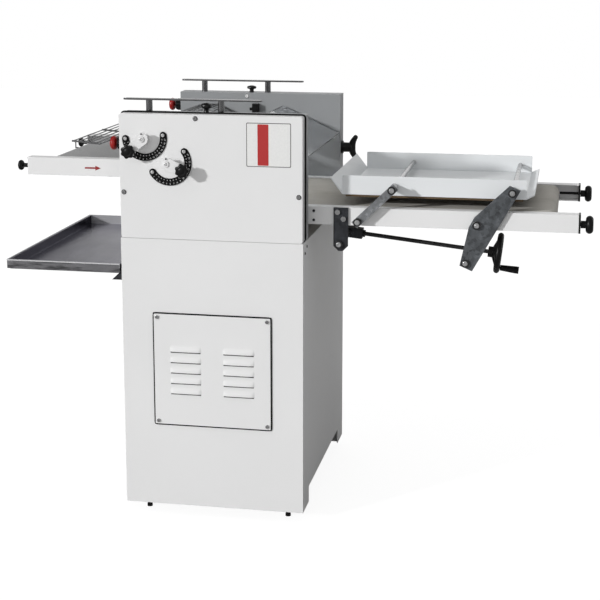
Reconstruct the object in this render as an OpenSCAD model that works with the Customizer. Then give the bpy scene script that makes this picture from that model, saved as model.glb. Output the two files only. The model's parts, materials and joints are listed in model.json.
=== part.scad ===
// Baguette moulder on a cabinet base, in millimetres.
// Origin on the floor under the middle of the whole machine. +X is the outfeed end, +Y the rear, +Z up.
// Places below count from the middle of the base.

/* [Base cabinet] */
// Position of the middle of the base along X
base_off_x = -254; // [-260:1:-248]
// Position of the middle of the base along Y
base_off_y = 16; // [10:1:22]
// Width of the base cabinet along X
base_w = 604; // [580:1:640]
// Depth of the base cabinet along Y
base_d = 810; // [790:1:840]
// Height of the top of the base cabinet above the floor
base_top = 941; // [935:1:950]
// Height of the lower edge of the base cabinet above the floor
foot_h = 36; // [30:1:45]
// Thickness of the cabinet sheet
sheet = 3; // [2:0.5:4]
// Depth of each leg of the side panels
leg_d = 106; // [90:1:130]
// Height of the raised edge between the legs
leg_rise = 55; // [40:1:70]
// Height of the inside shelf above the lower edge
shelf_rise = 120; // [100:1:160]
// Side of the square plate above each foot
foot_plate = 90; // [86:1:100]
// Distance of each foot from the side of the base along X
foot_in_x = 62; // [50:1:80]
// Distance of each foot from the front or rear face along Y
foot_in_y = 60; // [50:1:70]
// Diameter of the body of a foot
foot_dia = 16; // [14:1:24]
// Diameter of the pad of a foot
foot_pad_dia = 18; // [17:1:32]
// Height of the pad of a foot
foot_pad_h = 8; // [5:1:12]
// Diameter of the stem of a foot
foot_stem = 12; // [10:1:14]
// Height of the stem above the foot plate
foot_stem_h = 22; // [18:1:30]
// Width across the nut of a foot
foot_nut = 20; // [18:1:24]
// Height of the nut of a foot
foot_nut_h = 10; // [8:1:12]

/* [Access panel] */
// Width of the access panel
panel_w = 390; // [370:1:410]
// Height of the access panel
panel_h = 375; // [355:1:390]
// Height of the middle of the access panel above the floor
panel_z = 505; // [495:1:515]
// Thickness of the access panel
panel_t = 2; // [1.5:0.5:3]
// Thickness of the panel gasket
panel_seal_t = 2.5; // [2:0.5:4]
// Width by which the gasket shows around the panel
panel_seal_lip = 3; // [2:0.5:5]
// Width of the gasket frame
panel_seal_w = 20; // [16:1:24]
// Distance of a panel screw from the panel edge
panel_screw_inset = 11; // [9:0.5:13]
// Number of louvre rows
louvre_rows = 5; // [3:1:6]
// Distance from one louvre row to the next
louvre_pitch = 35.5; // [33:0.5:38]
// Length of a louvre
louvre_len = 110; // [100:1:120]
// Height of a louvre hood
louvre_h = 22; // [18:1:25]
// Depth of a louvre hood
louvre_out = 9; // [7:0.5:11]
// Distance of each louvre column from the panel middle
louvre_x = 89; // [80:1:100]
// Distance of the louvre block above the panel middle
louvre_rise = 2; // [0:1:10]
// Height of the slot behind a louvre hood
louvre_slot = 14; // [10:1:16]

/* [Screws] */
// Head diameter of a panel screw
screw_head = 12; // [10:0.5:14]
// Head height of a panel screw
screw_head_h = 4; // [3:0.5:5]
// Shank diameter of a panel screw
screw_dia = 5; // [4:0.5:6]
// Shank length of a panel screw
screw_len = 12; // [11:0.5:14]
// Socket size of a panel screw
screw_socket = 5.5; // [4:0.5:6]
// Socket depth of a panel screw
screw_socket_d = 2.2; // [1.5:0.1:2.5]

/* [Housings] */
// Width of the two housings along X
housing_w = 600; // [580:1:604]
// Height of the top of the housings above the floor
housing_top = 1347; // [1342:1:1352]
// Depth of the front cover pan
cover_d = 35; // [30:1:40]
// Corner radius of the front cover
cover_r = 8; // [6:1:16]
// Thickness of the cover sheet
cover_t = 2.5; // [2:0.5:3]
// Thickness of the cover gasket
seal_t = 4.5; // [3:0.5:6]
// Height by which the gasket stands proud of the cover edge
seal_lip = 5; // [3:0.5:6]
// Width of the gasket frame inside the cover edge
seal_w = 14; // [12:1:18]
// Depth of the front housing behind the gasket
front_d = 60.5; // [55:0.5:66]
// Depth of the rear housing
rear_d = 68; // [64:0.5:75]
// Wall thickness of the housings
wall = 4; // [3:0.5:5]
// Gap under the front cover
cover_gap = 1; // [0.5:0.5:2]

// Position of the upper cover screw along X
cover_screw_x = -47; // [-60:1:-40]
// Distance of the cover screws from the cover edge
cover_screw_in = 12; // [10:0.5:16]
// Height of the side cover screws
cover_screw_z = 1092; // [1080:1:1100]

/* [Tray bars and lock knobs] */
// Left end of a tray bar along X
bar_x0 = -301; // [-310:1:-295]
// Right end of a tray bar along X
bar_x1 = 158; // [150:1:165]
// Thickness of a tray bar
bar_t = 5; // [4:0.5:6]
// Width of a tray bar
bar_w = 25; // [20:1:30]
// Position of the left post along X
post_x0 = -215; // [-225:1:-205]
// Position of the right post along X
post_x1 = 24; // [14:1:34]
// Height of a post
post_h = 39; // [35:1:45]
// Distance of the front posts from the front face
post_in = 60; // [55:1:68]
// Diameter of a post
post_dia = 21; // [18:1:24]
// Position of the front lock knob along X
lock_front_x = -25; // [-35:1:-20]
// Position of the rear lock knob along X
lock_rear_x = -37; // [-45:1:-30]
// Head diameter of a lock knob
lock_dia = 35; // [32:1:48]
// Height of the top of a lock knob above the housing
lock_h = 38; // [35:1:40]
// Height of the head of a lock knob
lock_head = 17; // [14:1:18]
// Neck diameter of a lock knob
lock_neck = 19; // [14:1:20]
// Diameter of the pin of a lock knob
lock_pin = 10; // [8:1:12]
// Length of the pin of a lock knob below the housing top
lock_pin_l = 24; // [20:1:30]

/* [Dials and gap levers] */
// Position of the axis of the first dial along X
dial1_x = -215; // [-218:1:-212]
// Height of the axis of the first dial
dial1_z = 1270; // [1268:1:1272]
// Position of the axis of the second dial along X
dial2_x = -135; // [-138:1:-132]
// Height of the axis of the second dial
dial2_z = 1192; // [1190:1:1194]
// Middle radius of a dial scale
dial_r = 63; // [61:0.5:65]
// Width of a dial scale
dial_band = 23; // [20:0.5:25]
// Diameter of the round ends of a dial scale
dial_end = 22; // [18:0.5:22]
// Turn of the screw holes in the dial scales, degrees
dial_screw_a = 45; // [30:1:60]
// Thickness of a dial scale
dial_t = 3; // [2:0.5:4]
// Start angle of the first dial scale
dial1_a = 183; // [178:1:188]
// Start angle of the second dial scale
dial2_a = 210; // [205:1:215]
// Sweep angle of a dial scale
dial_sweep = 186; // [180:1:190]
// Angle from a scale end to its first index hole
dial_hole_a = 13; // [12:1:20]
// Number of index holes in a dial scale
dial_holes = 17; // [11:1:19]
// Diameter of an index hole
dial_hole = 5; // [4:0.5:5]
// Angle of the first lever
lever1_a = 223; // [215:1:230]
// Angle of the second lever
lever2_a = 341; // [335:1:350]
// Distance from the lever axis to its knob
lever_r = 58; // [57:0.5:59]
// Stand-off from the cover face to the back of a lever
lever_off = 30; // [26:1:34]
// Thickness of a lever
lever_t = 6; // [5:0.5:8]
// Radius of a lever around its axis
lever_hub_r = 21; // [19:0.5:23]
// Radius of a lever around its knob
lever_tip_r = 13; // [12:0.5:15]
// Diameter of a lever shaft
lever_shaft = 16; // [14:1:18]
// Diameter of the boss between lever and cover
lever_boss = 26; // [22:1:30]
// Gap between the lever boss and the cover
lever_boss_gap = 1; // [0.5:0.5:2]
// Diameter of the boss cap in front of a lever
lever_cap = 19; // [16:1:22]
// Height of the boss cap in front of a lever
lever_cap_h = 4; // [3:0.5:6]
// Diameter of the mark hole in a lever
lever_mark = 5; // [4:0.5:6]
// Distance of the mark hole from the lever axis
lever_mark_r = 17; // [15:0.5:18]
// Depth of the mark hole
lever_mark_d = 3; // [2:0.5:4]
// Radius of the eccentric disc on a lever shaft
cam_r = 11; // [10.5:0.5:12]
// Offset of the eccentric disc
cam_off = 2.5; // [2:0.5:3]
// Thickness of the eccentric disc
cam_t = 14; // [10:1:16]
// Diameter of a star knob
star_dia = 40; // [36:1:44]
// Number of lobes of a star knob
star_lobes = 7; // [6:1:9]
// Thickness of a star knob
star_t = 17; // [14:1:20]
// Diameter of a lobe of a star knob
star_lobe = 14; // [12:1:15]
// Height of the star knob neck
star_neck_h = 4; // [3:0.5:8]
// Diameter of the index pin under a star knob
star_pin = 4; // [3:0.5:4]
// Gap between the index pin and the dial scale
star_pin_gap = 0.5; // [0.4:0.1:1]

/* [Stop buttons and small fittings] */
// Height of the front stop button
stop_front_z = 1242; // [1236:1:1250]
// Height of the rear stop button
stop_rear_z = 1297; // [1290:1:1304]
// Diameter of a stop button
stop_dia = 46; // [42:1:48]
// Length of a stop button head
stop_head = 20; // [17:1:22]
// Diameter of a stop button collar
stop_collar = 40; // [36:1:42]
// Length of a stop button collar
stop_collar_l = 24; // [21:1:28]
// Press travel left between button and collar
stop_travel = 6; // [5.5:0.5:8]
// Stem diameter of a stop button
stop_stem = 14; // [12:1:16]
// Stem length of a stop button inside the collar
stop_stem_l = 20; // [18:1:20]
// Number of ribs on a collar
stop_ribs = 14; // [10:1:18]
// Diameter of a collar rib
stop_rib = 4; // [3:0.5:5]
// Position of the interlock switch along X
switch_x = -12; // [-20:1:-5]
// Height of the middle of the interlock switch
switch_z = 1289; // [1288:1:1294]
// Width of the interlock switch
switch_w = 22; // [20:1:26]
// Height of the interlock switch
switch_h = 40; // [34:1:42]
// Depth of the interlock switch
switch_d = 26; // [20:1:30]
// Height of the wing knob axis
wing_z = 1151; // [1145:1:1158]
// Flange diameter of the wing knob
wing_flange = 48; // [42:1:52]
// Flange thickness of the wing knob
wing_flange_t = 6; // [4:1:8]
// Hub diameter of the wing knob
wing_hub = 36; // [32:1:40]
// Length from the housing to the end of the hub
wing_hub_l = 38; // [34:1:42]
// Length from the housing to the wing tips
wing_l = 57; // [52:1:62]
// Half span of the wings
wing_span = 39; // [34:1:43]
// Thickness of a wing
wing_t = 14; // [10:1:16]
// Diameter of the wing knob shaft
wing_shaft = 12; // [10:1:14]
// Length of the wing knob shaft inside the housing
wing_shaft_l = 30; // [24:1:36]

/* [Rollers] */
// Position of the lower roller along X
lower_x = -150; // [-154:1:-146]
// Height of the lower roller axis
lower_z = 1140; // [1136:1:1142]
// Radius of the lower and upper rollers
roller_r = 44; // [42:0.5:45]
// Position of the upper roller along X
upper_x = -185; // [-188:1:-182]
// Height of the upper roller axis
upper_z = 1235; // [1234:1:1238]
// Position of the second roller along X
second_x = -62; // [-64:1:-58]
// Height of the second roller axis
second_z = 1163; // [1160:1:1166]
// Radius of the second roller
second_r = 40; // [38:0.5:41]
// Gap between a roller end and a housing wall
roller_end_gap = 8; // [6:1:12]
// Diameter of a roller axle
axle = 20; // [18:1:22]
// Largest lift of the upper roller
upper_lift = 11; // [10.5:0.5:12]
// Largest drop of the upper roller
upper_drop = 3; // [2.6:0.2:4]
// Largest move of the second roller away from the lower one
second_out = 7; // [6.5:0.5:8]
// Largest move of the second roller toward the lower one
second_in = 3; // [2.6:0.2:3.4]
// Width and height of a bearing block
bearing_w = 36; // [32:1:38]
// Half height of the upper bearing block above the axle
bearing_up = 12; // [11:0.5:13]
// Depth of a bearing block
bearing_d = 30; // [26:1:34]
// Gap between a bearing block and the housing wall
bearing_gap = 4; // [3:0.5:6]
// Length of the lower roller axle inside a housing
axle_in = 30; // [24:1:34]

/* [Guards] */
// Thickness of the guard wires
wire = 4; // [3:0.5:5]
// Thickness of the guard side rods
guard_rod = 6; // [5:0.5:7]
// Distance from one guard wire to the next along X
wire_pitch = 19; // [17:0.5:24]
// Left end of the wire guard along X
guard_x0 = -495; // [-500:1:-490]
// Height of the left end of the wire guard
guard_z0 = 1239; // [1236:1:1242]
// End of the flat part of the wire guard along X
guard_x1 = -404; // [-410:1:-398]
// Height of the low point of the wire guard
guard_z1 = 1232; // [1230:1:1236]
// Start of the crest of the wire guard along X
guard_x2 = -212; // [-216:1:-208]
// Height of the crest of the wire guard
guard_z2 = 1303; // [1302:1:1308]
// End of the crest of the wire guard along X
guard_x3 = -150; // [-154:1:-146]
// Position of the hinge end of the wire guard along X
guard_x4 = -95; // [-97:1:-93]
// Height of the hinge end of the wire guard
guard_z4 = 1276; // [1275:1:1278]
// Gap between the wire guard sides and the housings
guard_gap = 10; // [8:1:14]
// Length of the corner leg of the wire guard
guard_leg = 24; // [20:1:26]
// Length of the foot of the corner leg
guard_leg_foot = 9; // [6:1:12]
// Length of the hinge pin inside a housing wall
guard_pin_in = 10; // [8:1:14]
// Position of the roof guard ridge along X
roof_x = 89; // [84:1:94]
// Height of the roof guard ridge
roof_z = 1304; // [1300:1:1308]
// Right end of the roof guard along X
roof_x1 = 298; // [290:1:300]
// Left end of the roof guard along X
roof_x0 = -44; // [-48:1:-38]
// Slope of the roof guard
roof_slope = 24.4; // [22:0.1:26]
// Thickness of the roof guard sheet
roof_t = 3; // [2:0.5:4]
// Height of the strips under the roof guard
strip_h = 30; // [26:1:34]
// Depth of the strips under the roof guard
strip_d = 12; // [10:1:16]
// Gap between the roof guard sheet and the housings
roof_gap = 1; // [0.5:0.5:2]

/* [Conveyors] */
// Height of a conveyor rail
rail_h = 58; // [57:0.5:60]
// Width of a rail flange
rail_flange = 40; // [36:1:42]
// Thickness of a rail
rail_t = 3; // [2.5:0.5:4]
// Left end of the infeed rails along X
in_x0 = -653; // [-660:1:-645]
// Right end of the infeed rails along X
in_x1 = -206; // [-210:1:-204]
// Height of the top of the infeed rails
in_top = 1182.5; // [1180:0.5:1184]
// Left end of the outfeed rails along X
out_x0 = -130; // [-134:1:-126]
// Right end of the outfeed rails along X
out_x1 = 1160; // [1150:1:1170]
// Height of the top of the outfeed rails
out_top = 1047; // [1045:0.5:1049]
// Drop of the belts below the top of the rails
belt_drop = 1.5; // [1:0.5:2]
// Thickness of the belts
belt_t = 3; // [2:0.5:3.5]
// Radius of the belt rollers
belt_roller = 23.5; // [23:0.1:23.9]
// Gap between a belt edge and a rail flange
belt_gap = 4; // [3:0.5:6]
// Left end of the infeed belt along X
in_belt_x0 = -590; // [-592:1:-560]
// Right end of the infeed belt along X
in_belt_x1 = -210; // [-214:1:-206]
// Left end of the outfeed belt along X
out_belt_x0 = -120; // [-122:1:-116]
// Right end of the outfeed belt along X
out_belt_x1 = 1093; // [1088:1:1098]
// Clearance between a belt and its rollers
belt_clear = 0.4; // [0.35:0.05:0.6]
// Diameter of a belt roller axle
belt_axle = 16; // [14:1:18]
// Wall of the blind bosses that carry the belt drum axles
boss_wall = 5; // [4:0.5:6]
// Length of those bosses
boss_l = 9; // [8:0.5:9]
// Thickness of the slider beds
bed_t = 2.5; // [2:0.5:3]
// Distance of the slider bed edges from the rail webs
bed_in = 12; // [10:1:16]
// Width of the slider bed edge under the rail flange
bed_lip = 20; // [16:1:22]
// Gap between a slider bed and a belt roller
bed_gap = 8; // [6:1:12]
// Thickness of the outfeed end caps
cap_t = 6; // [5:0.5:8]
// Overhang of the outfeed end caps
cap_lip = 1; // [0.5:0.5:2]
// Head diameter of the outfeed tension knobs
out_knob = 57; // [52:1:60]
// Head length of the outfeed tension knobs
out_knob_l = 24; // [20:1:27]
// Neck length of the outfeed tension knobs
out_neck_l = 15; // [12:1:18]
// Neck diameter of the outfeed tension knobs
out_neck = 24; // [20:1:28]
// Head diameter of the infeed tension knobs
in_knob = 34; // [33:1:38]
// Head length of the infeed tension knobs
in_knob_l = 16; // [14:0.5:16]
// Neck length of the infeed tension knobs
in_neck_l = 22; // [18:1:26]
// Neck diameter of the infeed tension knobs
in_neck = 14; // [12:1:16]
// Diameter of a tension rod
rod_dia = 9; // [8:0.5:10]
// Length of a tension rod inside its rail
rod_l = 66; // [55:1:70]
// Drop of the outfeed knob axis below the rail middle
knob_drop = 4; // [0:0.5:5]

/* [Pressure board] */
// Left end of the pressure board along X
board_x0 = 405; // [400:1:410]
// Right end of the pressure board along X
board_x1 = 995; // [990:1:1000]
// Width of the pressure board across the belt
board_w = 570; // [556:1:576]
// Height of the underside of the pressure board
board_z = 1084; // [1082:1:1086]
// Height of the side flanges of the pressure board
board_flange = 62; // [58:1:66]
// Thickness of the pressure board sheet
board_t = 3; // [2:0.5:4]
// Length of the left end flap
flap_l = 66; // [60:1:70]
// Angle of the left end flap
flap_a = 53; // [48:1:56]
// Length of the right end flap
flap_r = 30; // [24:1:34]
// Angle of the right end flap
flap_r_a = 28; // [24:1:34]
// Thickness of the lining under the board
felt_t = 8; // [6:0.5:9]
// Distance of the lining from the board ends
felt_inset = 10; // [6:1:14]
// Corner radius of the side flanges
board_r = 4; // [3:1:14]

/* [Board linkage] */
// Position of the lever pivot along X
pivot_x = 844; // [840:1:848]
// Position of the link pivot along X
link_x = 466; // [462:1:470]
// Height of the lower pivots
pivot_z = 1006.5; // [1005:0.5:1008]
// Offset of the upper pivots along X
arm_dx = 109; // [106:0.5:112]
// Offset of the upper pivots along Z
arm_dz = 106; // [104:0.5:108]
// Offset of the nut bar from the lever pivot along X
nut_dx = -34; // [-36:0.5:-32]
// Offset of the nut bar from the lever pivot along Z
nut_dz = -124; // [-126:0.5:-122]
// Upper left corner of a lever from its pivot
lever_c1 = [100, 128.5]; // [-160:0.5:160]
// Upper right corner of a lever from its pivot
lever_c2 = [134, 113.5]; // [-160:0.5:160]
// Lower right corner of a lever from its pivot
lever_c3 = [-12, -149.5]; // [-160:0.5:160]
// Lower left corner of a lever from its pivot
lever_c4 = [-52, -132.5]; // [-160:0.5:160]
// Lower corner of a lever beside its pivot
lever_c5 = [-25, -7.5]; // [-160:0.5:160]
// Upper corner of a lever beside its pivot
lever_c6 = [-8, 24.5]; // [-160:0.5:160]
// Thickness of the levers, links and brackets
arm_t = 8; // [6:0.5:8]
// Gap between a rail and a lever
lever_rail_gap = 8; // [7:0.5:10]
// Gap between a rail and a link
link_rail_gap = 24; // [20:1:28]
// Width of a link
link_w = 26; // [24:1:30]
// Length of a link beyond its pivots
link_end = 15; // [14:0.5:18]
// Diameter of the pivot pins
pin = 14; // [12:1:14]
// Diameter of a pivot washer
washer = 27; // [24:1:30]
// Thickness of a pivot washer
washer_t = 3; // [2:0.5:4]
// Diameter of a bolt head
bolt_head = 17; // [16:1:20]
// Height of a bolt head
bolt_head_h = 7; // [5:0.5:8]
// Diameter of a spacer
spacer = 24; // [22:1:26]
// Diameter of the board rods between the flanges
rod_tube = 16; // [15.5:0.5:20]
// Position of the anchor bar along X
anchor_x = 402; // [398:1:406]
// Height of the anchor bar
anchor_z = 927; // [924:1:930]
// Diameter of the anchor bar
anchor_dia = 20; // [18:1:22]
// Diameter of the nut bar
nut_dia = 30; // [28:1:34]
// Diameter of the journals of the anchor bar and nut bar
journal = 16; // [14:1:16]
// Position of the spindle plane along Y
spindle_y = -90; // [-100:1:-80]
// Diameter of the spindle
spindle = 14; // [12:1:14]
// Play of the spindle in the nut bar
nut_play = 2.2; // [2:0.1:2.6]
// Length of the anchor block toward the nut
block_l = 46; // [42:1:48]
// Length of the anchor block behind the bar
block_back = 17; // [15:1:20]
// Width and height of the anchor block
block_w = 34; // [30:1:38]
// Depth of the blind end behind the spindle seat
seat_gap = 15; // [14:0.5:18]
// Length of the thrust collar on the spindle
collar_l = 8; // [6:0.5:10]
// Diameter of the thrust collar on the spindle
collar_dia = 24; // [22:1:28]
// Distance from the anchor bar to the start of the handwheel hub
hub_s = 470; // [464:1:474]
// Distance from the anchor bar to the middle of the handwheel rim
rim_s = 505; // [500:1:508]
// Radius of the middle of the handwheel rim
rim_r = 58; // [54:1:60]
// Radius of the handwheel rim section
rim_section = 10; // [7:0.5:10]
// Diameter of the handwheel hub
hub_dia = 36; // [32:1:40]
// Thickness of the handwheel web
web_t = 8; // [6:0.5:9]
// Radius at which the handwheel web holes lie
web_hole_r = 36; // [34:0.5:38]
// Diameter of the handwheel web holes
web_hole = 20; // [16:1:22]
// Distance of the crank grip from the spindle
grip_r = 49; // [47:1:52]
// Length of the crank grip
grip_l = 62; // [56:1:66]
// Diameter of the crank grip at its outer end
grip_dia = 24; // [22:1:26]
// Diameter of the crank grip at the wheel
grip_root = 19; // [17:1:21]
// Diameter of the crank pin
grip_pin = 9; // [8:1:10]
// Gap between the crank grip and the wheel
grip_gap = 1; // [0.5:0.5:2]

/* [Brackets] */
// Left edge of an anchor bracket along X
bracket_x0 = 384; // [380:1:386]
// Right edge of an anchor bracket along X
bracket_x1 = 431; // [428:1:434]
// Height of the lower end of an anchor bracket
bracket_z0 = 905; // [903:1:908]
// Size of the lower corners cut from an anchor bracket
bracket_cut = 16; // [13:0.5:17]
// Distance of a bracket bolt from the bracket edges
bracket_bolt_in = 14; // [12:0.5:16]
// Distance between the bracket bolts along Z
bracket_bolt_dz = 22; // [18:1:26]
// Diameter of a rail bolt shank
rail_bolt = 10; // [8:1:10]

/* [Catch tray] */
// Length of the catch tray along X
tray_l = 383; // [370:1:390]
// Gap from the base to the catch tray along X
tray_off = 13; // [12:1:16]
// Front edge of the catch tray along Y
tray_y0 = -410; // [-415:1:-405]
// Rear edge of the catch tray along Y
tray_y1 = 430; // [420:1:440]
// Height of the underside of the catch tray
tray_z0 = 821; // [818:1:824]
// Height of the catch tray walls
tray_h = 33; // [30:1:36]
// Thickness of the catch tray sheet
tray_t = 1.5; // [1.5:0.5:2.5]
// Width of the catch tray rim
tray_rim = 9; // [6:1:9]
// Height of the hook on the catch tray
tray_hook = 14; // [10:1:16]
// Lower end of a tray bracket
tray_br_z0 = 796; // [792:1:800]
// Length of a tray bracket
tray_br_l = 39; // [34:1:42]
// Thickness of a tray bracket arm
tray_br_t = 5; // [4:0.5:6]
// Distance of a tray bracket from the middle plane
tray_br_y = 385; // [370:1:390]
// Width of a tray bracket along Y
tray_br_w = 8; // [6:1:12]
// Gap between the tray and its brackets
tray_gap = 0.5; // [0.4:0.1:1]

/* [Drive] */
// Diameter of the motor
motor_dia = 140; // [120:1:146]
// Length of the motor
motor_l = 260; // [230:1:290]
// Side of the gearbox
gear_w = 150; // [148:1:170]
// Length of the gearbox along Y
gear_l = 120; // [100:1:140]
// Distance of the gearbox front from the inside of the cabinet front
gear_in = 110; // [90:1:140]
// Diameter of the gearbox shaft
gear_shaft = 28; // [24:1:32]
// Length of the gearbox shaft
gear_shaft_l = 60; // [50:1:70]

/* [Clearances] */
// Radial clearance of a turning or sliding fit
run_fit = 0.05; // [0.03:0.01:0.08]
// Gap left between two moving faces
face_gap = 0.5; // [0.4:0.1:0.8]
// Radial clearance of a screw in its hole
screw_fit = 0.3; // [0.2:0.05:0.4]
// Overrun of a cut beyond the cut body
over = 1; // [0.5:0.5:2]

/* [Hidden] */
half = 0.5;
round_steps = 48;
small_steps = 24;
hex_steps = 6;
corner_steps = 40;
ball_share = 0.93;
star_core_share = 0.82;
neck_share = 0.6;
web_share = 0.35;
taper_share = 0.8;
base_x = base_w * half;
front_y = -base_d * half;
rear_y = base_d * half;
foot_x = base_x - foot_in_x;
foot_y = rear_y - foot_in_y;
tray_x1 = -base_x - tray_off;
tray_x0 = tray_x1 - tray_l;
shelf_z = foot_h + shelf_rise;
cover_back = front_y + cover_d;
seal_back = cover_back + seal_t;
inner_front = seal_back + front_d;
inner_rear = rear_y - rear_d;
mid_y = (inner_front + inner_rear) * half;
housing_x = housing_w * half;
top_front_y = front_y + post_in;
top_rear_y = inner_rear + rear_d * half;
stop_front_y = (seal_back + inner_front) * half;
stop_rear_y = top_rear_y;
panel_y = front_y - panel_seal_t;
panel_face = panel_y - panel_t;
scale_y = front_y - dial_t;
lever_back = front_y - lever_off;
lever_face = lever_back - lever_t;
out_bot = out_top - rail_h;
in_bot = in_top - rail_h;
out_belt_top = out_top - belt_drop;
in_belt_top = in_top - belt_drop;
belt_out_r = belt_roller + belt_clear + belt_t;
out_axis_z = out_belt_top - belt_out_r;
in_axis_z = in_belt_top - belt_out_r;
belt_y0 = inner_front + rail_flange + belt_gap;
belt_y1 = inner_rear - rail_flange - belt_gap;
bearing_front0 = inner_front - wall - bearing_gap - bearing_d;
bearing_rear0 = inner_rear + wall + bearing_gap;
board_y0 = mid_y - board_w * half;
board_y1 = mid_y + board_w * half;
lever_y1 = inner_front - lever_rail_gap;
lever_y0 = lever_y1 - arm_t;
link_y1 = inner_front - link_rail_gap;
link_y0 = link_y1 - arm_t;
bracket_y0 = inner_front - arm_t;
nut_x = pivot_x + nut_dx;
nut_z = pivot_z + nut_dz;
tilt = atan2(anchor_z - nut_z, nut_x - anchor_x);
nut_s = norm([nut_x - anchor_x, nut_z - anchor_z]);
upper_pivot_z = pivot_z + arm_dz;
link_a = atan2(arm_dz, arm_dx);
link_l = norm([arm_dx, arm_dz]);

rod_y = inner_front + rail_flange * half;
in_rod_z = in_bot + rail_h * half - belt_drop;
out_rod_z = out_bot + rail_h * half - knob_drop;
in_tail_x = in_belt_x0 + belt_out_r;
in_drive_x = in_belt_x1 - belt_out_r;
out_tail_x = out_belt_x1 - belt_out_r;
out_drive_x = out_belt_x0 + belt_out_r;
cam_y = seal_back + (front_d - wall - cam_t) * half;
panel_sx = panel_w * half - panel_screw_inset;
panel_sz = panel_h * half - panel_screw_inset;
panel_spots = [for (x = [-panel_sx, panel_sx], z = [panel_z - panel_sz, panel_z + panel_sz]) [x, z]];
louvre_z0 = panel_z + louvre_rise - (louvre_rows - 1) * half * louvre_pitch;
louvre_spots = [for (x = [-louvre_x, louvre_x], i = [0 : louvre_rows - 1]) [x, louvre_z0 + i * louvre_pitch]];
cover_sx = housing_x - cover_screw_in;
cover_sz = housing_top - wall - cover_screw_in;
cover_spots = [[cover_screw_x, housing_top - cover_screw_in], [-cover_sx, cover_screw_z],
    [cover_sx, cover_screw_z]];
rear_spots = [for (x = [-cover_sx, cover_sx], z = [base_top + wall + cover_screw_in, cover_sz]) [x, z]];
dial1_ends = [for (a = [dial1_a, dial1_a + dial_sweep])
    [dial1_x + dial_r * cos(a), dial1_z + dial_r * sin(a)]];
dial2_ends = [for (a = [dial2_a, dial2_a + dial_sweep])
    [dial2_x + dial_r * cos(a), dial2_z + dial_r * sin(a)]];
dial_spots = concat(dial1_ends, dial2_ends);
bolt_z = out_top - bracket_bolt_in;
bracket_spots = [[bracket_x0 + bracket_bolt_in, bolt_z],
    [bracket_x1 - bracket_bolt_in, bolt_z - bracket_bolt_dz]];
guard_line = [[guard_x0, guard_z0], [guard_x1, guard_z1], [guard_x2, guard_z2], [guard_x3, guard_z2],
    [guard_x4, guard_z4]];

module box(x0, x1, y0, y1, z0, z1) {
    translate([x0, y0, z0]) cube([x1 - x0, y1 - y0, z1 - z0]);
}

// Move a piece from the frame of the base to the frame of the whole machine
module placed() {
    translate([base_off_x, base_off_y, 0]) children();
}

module bar_x(dia, x0, x1, y, z, steps = round_steps) {
    translate([x0, y, z]) rotate([0, 90, 0]) cylinder(h = x1 - x0, d = dia, $fn = steps);
}

module bar_y(dia, y0, y1, x, z, steps = round_steps) {
    translate([x, y1, z]) rotate([90, 0, 0]) cylinder(h = y1 - y0, d = dia, $fn = steps);
}

module bar_z(dia, z0, z1, x, y, steps = round_steps) {
    translate([x, y, z0]) cylinder(h = z1 - z0, d = dia, $fn = steps);
}

module plate_x(points, x0, x1) {
    translate([x0, 0, 0]) rotate([90, 0, 90]) linear_extrude(height = x1 - x0) polygon(points);
}

module plate_y(points, y0, y1) {
    translate([0, y1, 0]) rotate([90, 0, 0]) linear_extrude(height = y1 - y0) polygon(points);
}

// Plate in the XZ plane with rounded corners
module round_plate(x0, x1, z0, z1, r, y0, y1) {
    box(x0 + r, x1 - r, y0, y1, z0, z1);
    box(x0, x1, y0, y1, z0 + r, z1 - r);
    for (x = [x0 + r, x1 - r]) {
        for (z = [z0 + r, z1 - r]) {
            bar_y(2 * r, y0, y1, x, z, corner_steps);
        }
    }
}

// Copy a front piece to the rear side of the conveyor
module both_sides() {
    children();
    translate([0, 2 * mid_y, 0]) mirror([0, 1, 0]) children();
}

// Local frame of the spindle: +X runs from the anchor bar to the nut bar
module on_spindle() {
    translate([anchor_x, spindle_y, anchor_z]) rotate([0, tilt, 0]) children();
}

// Half section of a knob: neck from 0 to neck_l, then a round-edged head
module knob_section(neck_dia, neck_l, head_dia, head_l) {
    r = head_l * half;
    square([neck_dia * half, neck_l + r]);
    translate([0, neck_l]) square([head_dia * half - r, head_l]);
    translate([head_dia * half - r, neck_l + r]) circle(r = r, $fn = small_steps);
}

module base_cabinet() color("WhiteSmoke") placed() {
    open_w = panel_w * half - panel_seal_w;
    open_h = panel_h * half - panel_seal_w;
    difference() {
        union() {
            difference() {
                box(-base_x, base_x, front_y, rear_y, foot_h, base_top);
                box(-base_x + sheet, base_x - sheet, front_y + sheet, rear_y - sheet, foot_h - over,
                    base_top - sheet);
            }
            box(-base_x, base_x, front_y, rear_y, shelf_z, shelf_z + sheet);
            for (sx = [0, 1]) {
                for (sy = [0, 1]) {
                    mirror([sx, 0, 0]) mirror([0, sy, 0])
                        box(base_x - foot_plate, base_x, rear_y - foot_plate, rear_y, foot_h, foot_h + sheet);
                }
            }
        }
        box(-base_x - over, base_x + over, front_y + leg_d, rear_y - leg_d, foot_h - over, foot_h + leg_rise);
        box(-open_w, open_w, front_y - over, front_y + sheet + over, panel_z - open_h, panel_z + open_h);
        for (p = panel_spots) {
            bar_y(screw_dia + 2 * screw_fit, front_y - over, front_y + sheet + over, p[0], p[1], small_steps);
        }
        for (sx = [-1, 1]) {
            for (sy = [-1, 1]) {
                bar_z(foot_stem + 2 * screw_fit, foot_h - over, foot_h + sheet + over, sx * foot_x,
                    sy * foot_y);
            }
        }
    }
}

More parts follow.
